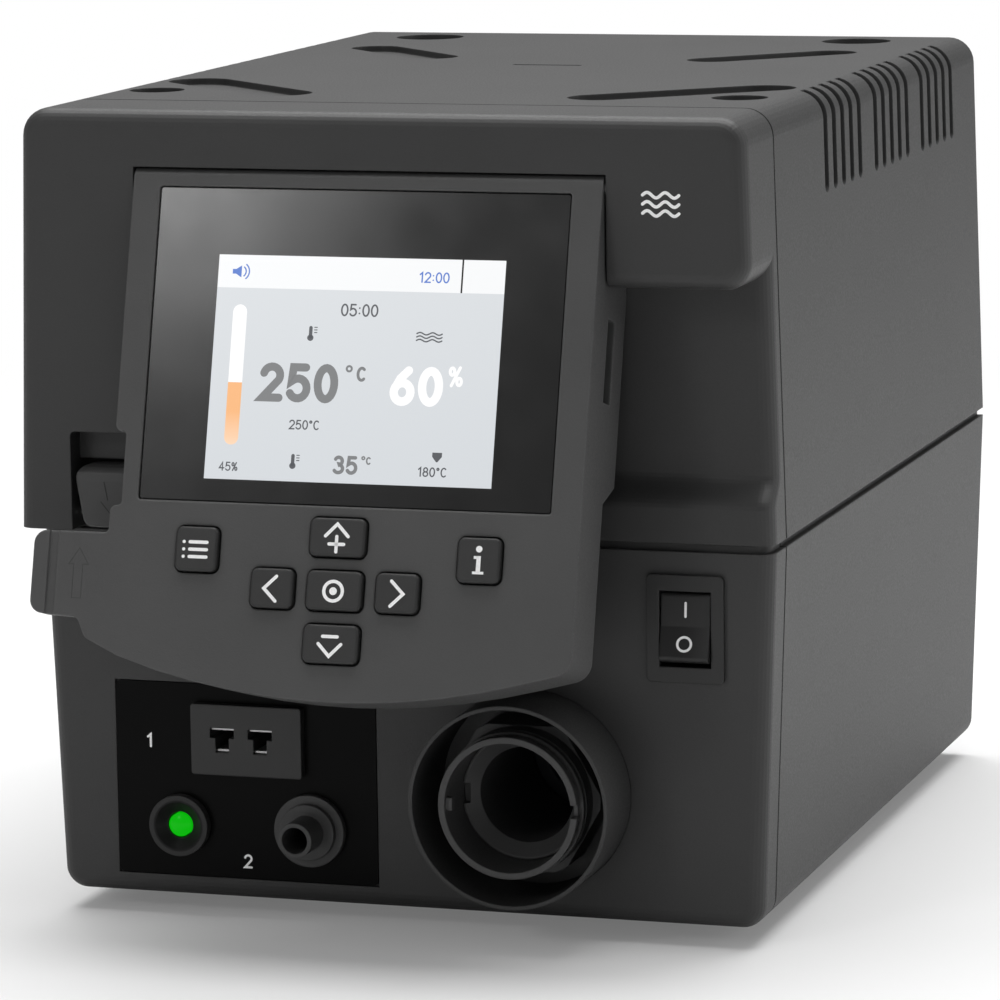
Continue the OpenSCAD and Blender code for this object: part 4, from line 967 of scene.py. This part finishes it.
@dataclass
class Picture:
    """The lit picture under the console's glass: plain numerals, a gauge and small signs.

    Places are given across, and upward from the console's top edge along its slope.
    """

    face: Sheet
    sink: float = 0.35
    left: float = -29.9
    right: float = 27.2
    top: float = -16.1
    foot: float = -59.0
    header_foot: float = -22.4
    header_gap: Span = (18.6, 18.95)
    gauge_x: float = -24.95
    gauge_top: float = -27.0
    gauge_level: float = -40.5
    gauge_foot: float = -51.0
    gauge_half: float = 1.4
    thin: float = 0.13
    speaker: Span = (-25.4, -19.3)
    sound: Span = (1.1, 1.75)
    air: Span = (10.6, -30.9)
    air_row: float = 0.65
    air_length: float = 5.0
    air_swing: float = 0.22
    probes: tuple[Span, ...] = ((-10.5, -30.8), (-12.3, -55.2))
    probe_ticks: tuple[float, ...] = (0.2, 0.7, 1.2)
    nozzle: Span = (16.2, -52.6)
    clock: Figure = Figure("12:00", 10.3, -20.5, 1.8, 0.14)
    grey_figures: tuple[Figure, ...] = (
        Figure("250", -19.3, -43.2, 5.9, 0.78),
        Figure("d", -2.9, -40.9, 4.2, 0.2),
        Figure("c", -0.5, -39.4, 2.3, 0.28),
        Figure("35", -3.9, -57.0, 2.9, 0.34),
        Figure("d", 1.4, -56.0, 2.2, 0.14),
        Figure("c", 2.4, -55.2, 1.2, 0.15),
    )
    white_figures: tuple[Figure, ...] = (
        Figure("60", 6.8, -43.2, 5.9, 0.82),
        Figure("%", 17.7, -39.9, 3.4, 0.3),
    )
    dark_figures: tuple[Figure, ...] = (
        Figure("05:00", -4.6, -27.2, 2.1, 0.16),
        Figure("250dc", -13.4, -49.0, 1.6, 0.13),
        Figure("45%", -26.9, -57.3, 1.5, 0.12),
        Figure("180dc", 12.6, -57.1, 1.6, 0.13),
    )
    field_light: Lit = Lit(
        "picture_field", (0.69, 0.715, 0.74), foot=(0.645, 0.675, 0.705), span=(0.09, 0.134)
    )
    header_light: Lit = Lit("picture_header", (0.93, 0.94, 0.95))
    dark: Lit = Lit("picture_dark", (0.085, 0.09, 0.1))
    mid: Lit = Lit("picture_grey", (0.2, 0.205, 0.21))
    bright: Lit = Lit("picture_white", (1.0, 1.0, 1.0))
    blue: Lit = Lit("picture_blue", (0.09, 0.2, 0.62))
    amber: Lit = Lit("picture_amber", (0.93, 0.47, 0.2), foot=(1.0, 0.82, 0.66), span=(0.0945, 0.105))

    def layer(self, number: int) -> Outline:
        """An outline under the glass, the given number of printed layers up."""
        return Outline(self.face, number * INK_THICK - self.sink)

    def ground(self) -> None:
        """Builds the field and the header, which a thin upright gap parts in two."""
        field_art = self.layer(0).bar(self.left, self.right, self.foot, self.header_foot)
        field_art.piece("picture_field", self.field_light.build(), "console")
        header = self.layer(0)
        for x0, x1 in ((self.left, self.header_gap[0]), (self.header_gap[1], self.right)):
            header.bar(x0, x1, self.header_foot, self.top)
        header.piece("picture_header", self.header_light.build(), "console")

    def gauge(self) -> None:
        """Builds the upright gauge: white above its level, amber below, with a round foot."""
        x, half = self.gauge_x, self.gauge_half
        upper = self.layer(1).line((x, self.gauge_level), (x, self.gauge_top), half=half)
        upper.piece("gauge_upper", self.bright.build(), "console")
        lower = self.layer(2).line((x, self.gauge_foot), (x, self.gauge_level), half=half, cap=False)
        lower.stroke(arc(x, self.gauge_foot, half / 2, half / 2, 180, 360, 10), half / 2)
        lower.piece("gauge_lower", self.amber.build(), "console")

    def header_signs(self) -> None:
        """Builds the clock's numerals and the small loudspeaker: a box and cone, and two arcs of sound."""
        art = self.layer(1).figure(self.clock)
        x, y = self.speaker
        art.line((x - 1.6, y), (x - 0.9, y), (x + 0.2, y), half=np.array([0.45, 0.45, 1.15]), cap=False)
        for radius, steps in zip(self.sound, (10, 12)):
            art.stroke(arc(x, y, radius, radius, -50, 50, steps), self.thin)
        art.piece("header_signs", self.blue.build(), "console")

    def dark_signs(self) -> None:
        """Builds the dark numerals, the air's waves, two probes with their ticks and the nozzle's sign."""
        art = self.layer(1).figures(*self.dark_figures)
        x, middle = self.air
        for level in (middle + self.air_row, middle, middle - self.air_row):
            art.stroke(wave(x, level, self.air_length, self.air_swing, steps=24), self.thin)
        for x, y in self.probes:
            art.line((x, y - 0.6), (x, y + 1.1), half=0.34).dot(x, y - 0.8, 0.62)
            for tick in self.probe_ticks:
                art.line((x + 0.75, y + tick), (x + 1.25, y + tick), half=0.09)
        x, y = self.nozzle
        art.line((x, y), (x, y - 0.8), (x, y - 1.8), half=np.array([0.95, 0.95, 0.12]), cap=False)
        art.piece("numerals_dark", self.dark.build(), "console")

    def build(self) -> None:
        """Builds the picture."""
        self.ground()
        self.gauge()
        self.header_signs()
        self.layer(1).figures(*self.grey_figures).piece("numerals_grey", self.mid.build(), "console")
        self.layer(1).figures(*self.white_figures).piece("numerals_white", self.bright.build(), "console")
        self.dark_signs()


@dataclass
class Console:
    """The tilted console's artwork: key symbols, the lit picture and the painted shade along the scored lines
    on tab and catch.
    """

    arrow_tip: Span = (-53.9, -73.2)
    arrow_barbs: Span = (-55.9, -51.9)
    arrow_shaft: Span = (-54.9, -53.05)
    arrow_shoulder: float = -76.3
    arrow_foot: float = -82.8
    arrow_half: float = 0.07
    catch_depth: float = 0.7
    catch_upper: tuple[Span, Span] = ((-56.65, 88.3), (-56.0, 84.8))
    catch_lower: tuple[Span, Span] = ((-57.4, 84.4), (-55.6, 82.2))
    # Dark lines painted as the shade along the tab's pressed-in arrow and in the catch's creases
    tab_shade: Ink = Ink("tab_sign_shade", grey(0.03))
    latch_shade: Ink = Ink("latch_line_shade", grey(0.007))

    @property
    def face(self) -> Sheet:
        """The console's face: across, and up the slope from its top edge."""
        return Sheet((0, 0, CONSOLE_TOP), upward=(0, math.sin(CONSOLE_TILT), math.cos(CONSOLE_TILT)))

    def tab_arrow(self) -> None:
        """Draws the outline of the tab's pressed-in arrow as a painted shade line."""
        (left_barb, right_barb), (left, right) = self.arrow_barbs, self.arrow_shaft
        high, low = self.arrow_shoulder, self.arrow_foot
        shaft = ((right, high), (right, low), (left, low), (left, high))
        arrow = chain(self.arrow_tip, (right_barb, high), *shaft, (left_barb, high))
        art = Outline(self.face).stroke(arrow, self.arrow_half, closed=True)
        art.piece("tab_arrow", self.tab_shade.build(), "console")

    def catch_lines(self) -> None:
        """Draws the catch's two scored lines as painted shade in their creases."""
        art = Outline(Sheet((0, self.catch_depth, 0)))
        art.line(*self.catch_upper, half=0.11).line(*self.catch_lower, half=0.09)
        art.piece("catch_lines", self.latch_shade.build(), "latch")

    def build(self) -> None:
        """Builds the console's artwork."""
        KeySymbols(self.face).build()
        Picture(self.face).build()
        self.tab_arrow()
        self.catch_lines()


@dataclass
class FrontPanel:
    """Printed marks on the front: numerals at the sockets, the switch's signs and the label's waves."""

    plate_y: float = 11.4
    numerals: tuple[Figure, ...] = (Figure("1", -53.3, 34.0, 2.4, 0.22), Figure("2", -33.2, 10.6, 2.4, 0.22))
    rocker_x: float = 57.3
    rocker_pivot: Span = (12.9, 62.4)
    rocker_lean: float = 11.0
    rocker_dip: float = 2.2
    rocker_tip: Span = (3.0, 6.6)
    on_line: Span = (2.0, 4.6)
    off_middle: float = -3.3
    off_radius: float = 1.35
    sign_half: float = 0.24
    label: Span = (52.6, 144.6)
    label_length: float = 7.0
    label_row: float = 1.7
    label_swing: float = 0.5
    label_half: float = 0.3
    white: Ink = Ink("panel_ink_white", grey(0.95))

    def rocker_sheet(self, upper: bool) -> Sheet:
        """The flat of one half of the rocker, leaning as the switch rests.

        Formula: the dip in the rocker's middle and the half's outer edge are turned about the pivot by the
        lean; the sheet starts at the dip and rises along the line between them.

        Args:
            upper: Whether it is the upper half.

        Returns:
            A sheet with its origin at the rocker's ridge line.
        """
        lean = math.radians(-self.rocker_lean)
        turn = np.array([[math.cos(lean), -math.sin(lean)], [math.sin(lean), math.cos(lean)]])
        half = 1 if upper else -1
        dip = turn @ np.array([-self.rocker_dip, 0.0]) + self.rocker_pivot
        tip = turn @ np.array([-self.rocker_tip[0], half * self.rocker_tip[1]]) + self.rocker_pivot
        rise = (tip - dip) / np.linalg.norm(tip - dip) * half
        return Sheet((self.rocker_x, *dip), upward=(0, *rise))

    def build(self) -> None:
        """Builds the marks."""
        ink = self.white.build()
        low, high = self.on_line
        line = Outline(self.rocker_sheet(True)).line((0, low), (0, high), half=self.sign_half)
        line.piece("switch_sign_on", ink, "rocker")
        circle = Outline(self.rocker_sheet(False)).ring(0, self.off_middle, self.off_radius, self.sign_half)
        circle.piece("switch_sign_off", ink, "rocker")
        plate = Outline(Sheet((0, self.plate_y, 0))).figures(*self.numerals)
        plate.piece("socket_numerals", ink, "housing")
        label = Outline(Sheet())
        x, middle = self.label
        for level in (middle + self.label_row, middle, middle - self.label_row):
            label.stroke(wave(x, level, self.label_length, self.label_swing, steps=32), self.label_half)
        label.piece("label_waves", ink, "housing")


@dataclass
class Dressing:
    """Finishes of the CAD nodes."""

    shell: Moulding = Moulding("housing_plastic", grey(0.029), 0.5, seam=SEAM_DEPTH)
    # The console's sharp edges get a painted highlight
    console: Moulding = Moulding("console_plastic", grey(0.056), 0.5, edge=0.0007, edge_highlight_gain=1.7)
    key: Moulding = Moulding("key_plastic", grey(0.021), 0.45, grain=3200.0, depth=0.00002)
    black: Moulding = Moulding("black_plastic", grey(0.014), 0.42, grain=3000.0, depth=0.00002)
    fitting: Moulding = Moulding("fitting_plastic", grey(0.04), 0.42, grain=3000.0, depth=0.00002)
    socket: Moulding = Moulding("socket_plastic", grey(0.016), 0.42, grain=3000.0, depth=0.00002)
    # The ring's front rim carries a painted highlight in a lighter grey
    ring: Rim = Rim("ring_plastic", grey(0.003), grey(0.03), "indicator_ring", 0.00515)
    plate: Gloss = Gloss("plate_lacquer", grey(0.002), 0.3, specular=0.06)
    glass: Gloss = Gloss("display_glass", grey(0.0035), 0.13)
    bulk: Moulding = Moulding("inner_plastic", (0.05, 0.055, 0.06), 0.5)
    pale: Moulding = Moulding("impeller_plastic", grey(0.6), 0.5)
    steel: Metal = Metal("plated_steel", grey(0.56), 0.32)
    zinc: Metal = Metal("chassis_zinc", grey(0.6), 0.42, (1, 14, 1))
    alloy: Metal = Metal("heatsink_alloy", grey(0.55), 0.38)
    silver: Metal = Metal("contact_silver", grey(0.5), 0.4)
    enamel: Gloss = Gloss("pump_enamel", (0.07, 0.075, 0.08), 0.35)
    foot: Rubber = Rubber("foot_rubber", grey(0.018))
    dark_tube: Rubber = Rubber("dark_silicone", grey(0.05), 0.6)
    clear_tube: Rubber = Rubber("milky_silicone", grey(0.55), 0.5)
    lacquer: Board = Board("board_lacquer", (0.015, 0.11, 0.045))
    coil: Winding = Winding("coil_tape", (0.35, 0.2, 0.05), (0.55, 0.25, 0.1))
    lens: Lit = Lit("indicator_green", (0.002, 0.47, 0.003), base=0.002, specular=0.1)
    tube: ClearGlass = ClearGlass("fuse_glass", grey(0.9))
    lcd: Lit = Lit("display_back", (0.5, 0.54, 0.58), glow=0.6)

    def table(self) -> dict[str, Finish]:
        """Gives each CAD node its finish.

        Returns:
            Node name to finish.
        """
        keys = "key_menu key_up_arrow key_left key_enter key_right key_down_arrow key_info"
        rear = "rear_panel fan_frame fan_rotor data_sockets"
        plated = "case_screws rear_screws console_pins latch_pin inlet_pins earth_jack"
        nodes: dict[str, Finish] = {}
        for finish, names in (
            (self.shell, "lower_case top_cover upper_bezel lower_front hose_collar"),
            (self.console, "console_shell console_back console_latch"),
            (self.key, keys),
            (self.black, f"{rear} switch_frame switch_rocker board_parts"),
            (self.fitting, "suction_nozzle hose_socket hose_core"),
            (self.socket, "tc_socket"),
            (self.ring, "indicator_ring"),
            (self.plate, "connector_plate mains_inlet fuse_drawer"),
            (self.glass, "display_glass"),
            (self.bulk, "blower_housing blower_lid"),
            (self.pale, "blower_impeller"),
            (self.steel, f"{plated} transformer_clamp blower_motor"),
            (self.zinc, "chassis_plate board_bracket"),
            (self.alloy, "heatsink"),
            (self.silver, "tc_contacts"),
            (self.enamel, "vacuum_pump"),
            (self.foot, "feet"),
            (self.dark_tube, "air_hose"),
            (self.clear_tube, "suction_hose"),
            (self.lacquer, "console_board main_board"),
            (self.coil, "transformer_core"),
            (self.lens, "indicator_lens"),
            (self.tube, "fuses"),
            (self.lcd, "lcd_module"),
        ):
            nodes.update({name: finish for name in names.split()})
        return nodes

    def dress(self, nodes: dict[str, bpy.types.Object]) -> None:
        """Puts the finishes on the CAD nodes.

        Args:
            nodes: The frame's node objects by name.
        """
        table = self.table()
        built: dict[str, bpy.types.Material] = {}
        for name, finish in table.items():
            if name not in nodes:
                LOG.warning("no CAD node %s", name)
                continue
            if finish.name not in built:
                built[finish.name] = finish.build()
            for slot in nodes[name].material_slots:
                slot.material = built[finish.name]
            LOG.info("node %s wears %s", name, finish.name)
        for name in sorted(set(nodes) - set(table)):
            LOG.warning("node %s has no finish", name)


@dataclass(frozen=True)
class Softbox:
    """A square lamp: where it hangs and the point it faces, in metres, its side and its watts."""

    name: str
    place: Point
    aim: Point
    side: float
    power: float

    def hang(self) -> None:
        """Adds the lamp to the scene."""
        data = bpy.data.lights.new(self.name, "AREA")
        data.shape, data.size, data.energy = "SQUARE", self.side, self.power
        lamp = bpy.data.objects.new(self.name, data)
        lamp.location = self.place
        lamp.rotation_euler = (Vector(self.aim) - Vector(self.place)).to_track_quat("-Z", "Y").to_euler()
        bpy.context.collection.objects.link(lamp)
        LOG.info("lamp %s of %s watts", self.name, self.power)


@dataclass
class Floor:
    """The pale floor: paper near the unit, plain white for the camera further off. Lengths are metres."""

    reach: float = 6.0
    colour: Colour = grey(0.72)
    mottle: float = 0.01
    fade: Span = (0.25, 0.75)
    least_white: float = 0.15

    def paper(self) -> bpy.types.Material:
        """Makes the floor's material: paper mixed with white light by distance, for camera rays alone.

        Returns:
            The finished material.
        """
        shader = Shader("floor_paper")
        place = shader.place()
        cloud = shader.noise(place, scale=3.0, detail=2.0)
        shader.feed("Base Color", shader.ramp(cloud, self.colour, shaded(self.colour, 1 + self.mottle)))
        shader.set(Roughness=0.6, Specular_IOR_Level=0.1)
        away = shader.maths("ShaderNodeVectorMath", "LENGTH", place).outputs["Value"]
        white_share = shader.carry(away, self.fade, (self.least_white, 1.0), smooth=True)
        camera_ray = shader.node("ShaderNodeLightPath").outputs["Is Camera Ray"]
        share = shader.maths("ShaderNodeMath", "MULTIPLY", white_share, camera_ray)
        white = shader.node("ShaderNodeEmission", Color=(1, 1, 1, 1), Strength=1.0)
        mix = shader.node("ShaderNodeMixShader")
        shader.join(share.outputs["Value"], mix.inputs["Fac"])
        shader.join(shader.bsdf.outputs["BSDF"], mix.inputs[1])
        shader.join(white.outputs["Emission"], mix.inputs[2])
        shader.join(mix.outputs["Shader"], shader.output.inputs["Surface"])
        return shader.material

    def build(self) -> None:
        """Lays the floor."""
        far = self.reach
        mesh = bpy.data.meshes.new("floor")
        mesh.from_pydata([(-far, -far, 0), (far, -far, 0), (far, far, 0), (-far, far, 0)], [], [(0, 1, 2, 3)])
        mesh.materials.append(self.paper())
        floor = bpy.data.objects.new("floor", mesh)
        bpy.context.collection.objects.link(floor)


@dataclass
class Studio:
    """Camera, surround, floor and lamps. The camera's place is in millimetres of the drawing."""

    focal_px: float = 5242.2
    yaw: float = 17.694
    pitch: float = 10.043
    roll: float = -0.808
    centre: Span = (481.7, 568.0)
    eye: Point = (318.3, -934.3, 248.3)
    sensor: float = 36.0
    clip: Span = (0.05, 50.0)
    surround: float = 0.33
    lamps: tuple[Softbox, ...] = (
        Softbox("lamp_top", (0.0, 0.35, 1.7), (0, 0, 0.1), 1.8, 53),
        Softbox("lamp_right", (2.0, 0.4, 0.7), (0, 0, 0.08), 1.2, 8.0),
        Softbox("lamp_front", (-0.8, -1.63, 0.99), (0, -0.1, 0.12), 0.32, 3.4),
    )

    def camera(self) -> None:
        """Places the camera from the solved view: the rows of its turn are right, up and back."""
        yaw, pitch, roll = map(math.radians, (self.yaw, self.pitch, self.roll))
        level = math.cos(pitch)
        forward = np.array([-math.sin(yaw) * level, math.cos(yaw) * level, -math.sin(pitch)])
        right = np.cross(forward, [0, 0, 1])
        right /= np.linalg.norm(right)
        up = np.cross(right, forward)
        side = right * math.cos(roll) + up * math.sin(roll)
        top = up * math.cos(roll) - right * math.sin(roll)
        data = bpy.data.cameras.new("camera")
        data.sensor_width = self.sensor
        data.lens = self.focal_px / PHOTO_SIDE * self.sensor
        data.shift_x = 0.5 - self.centre[0] / PHOTO_SIDE
        data.shift_y = self.centre[1] / PHOTO_SIDE - 0.5
        data.clip_start, data.clip_end = self.clip
        camera = bpy.data.objects.new("camera", data)
        turn = Matrix([side, top, -forward]).transposed()
        place = Vector((self.eye[0], self.eye[1] + front_face(), self.eye[2])) * MM
        camera.matrix_world = Matrix.Translation(place) @ turn.to_4x4()
        bpy.context.collection.objects.link(camera)
        bpy.context.scene.camera = camera

    def world(self) -> None:
        """Gives an even dim surround that the camera sees as white."""
        world = bpy.data.worlds.new("studio")
        bpy.context.scene.world = world
        world.use_nodes = True
        tree = world.node_tree
        tree.nodes.clear()
        path = tree.nodes.new("ShaderNodeLightPath")
        mix = tree.nodes.new("ShaderNodeMixShader")
        out = tree.nodes.new("ShaderNodeOutputWorld")
        for into, strength in ((1, self.surround), (2, 1.0)):
            light = tree.nodes.new("ShaderNodeBackground")
            light.inputs["Color"].default_value = (1, 1, 1, 1)
            light.inputs["Strength"].default_value = strength
            tree.links.new(light.outputs["Background"], mix.inputs[into])
        tree.links.new(path.outputs["Is Camera Ray"], mix.inputs["Fac"])
        tree.links.new(mix.outputs["Shader"], out.inputs["Surface"])

    def build(self) -> None:
        """Builds the studio."""
        self.camera()
        self.world()
        Floor().build()
        for lamp in self.lamps:
            lamp.hang()
        bpy.context.scene.view_settings.view_transform = "Standard"


def main() -> None:
    """Loads the frame, dresses it and builds the pieces and the studio."""
    logging.basicConfig(level=logging.INFO, format="%(name)s %(message)s")
    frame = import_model()
    Studio().build()
    Dressing().dress(frame["nodes"])
    Console().build()
    FrontPanel().build()


if __name__ == "__main__":
    main()
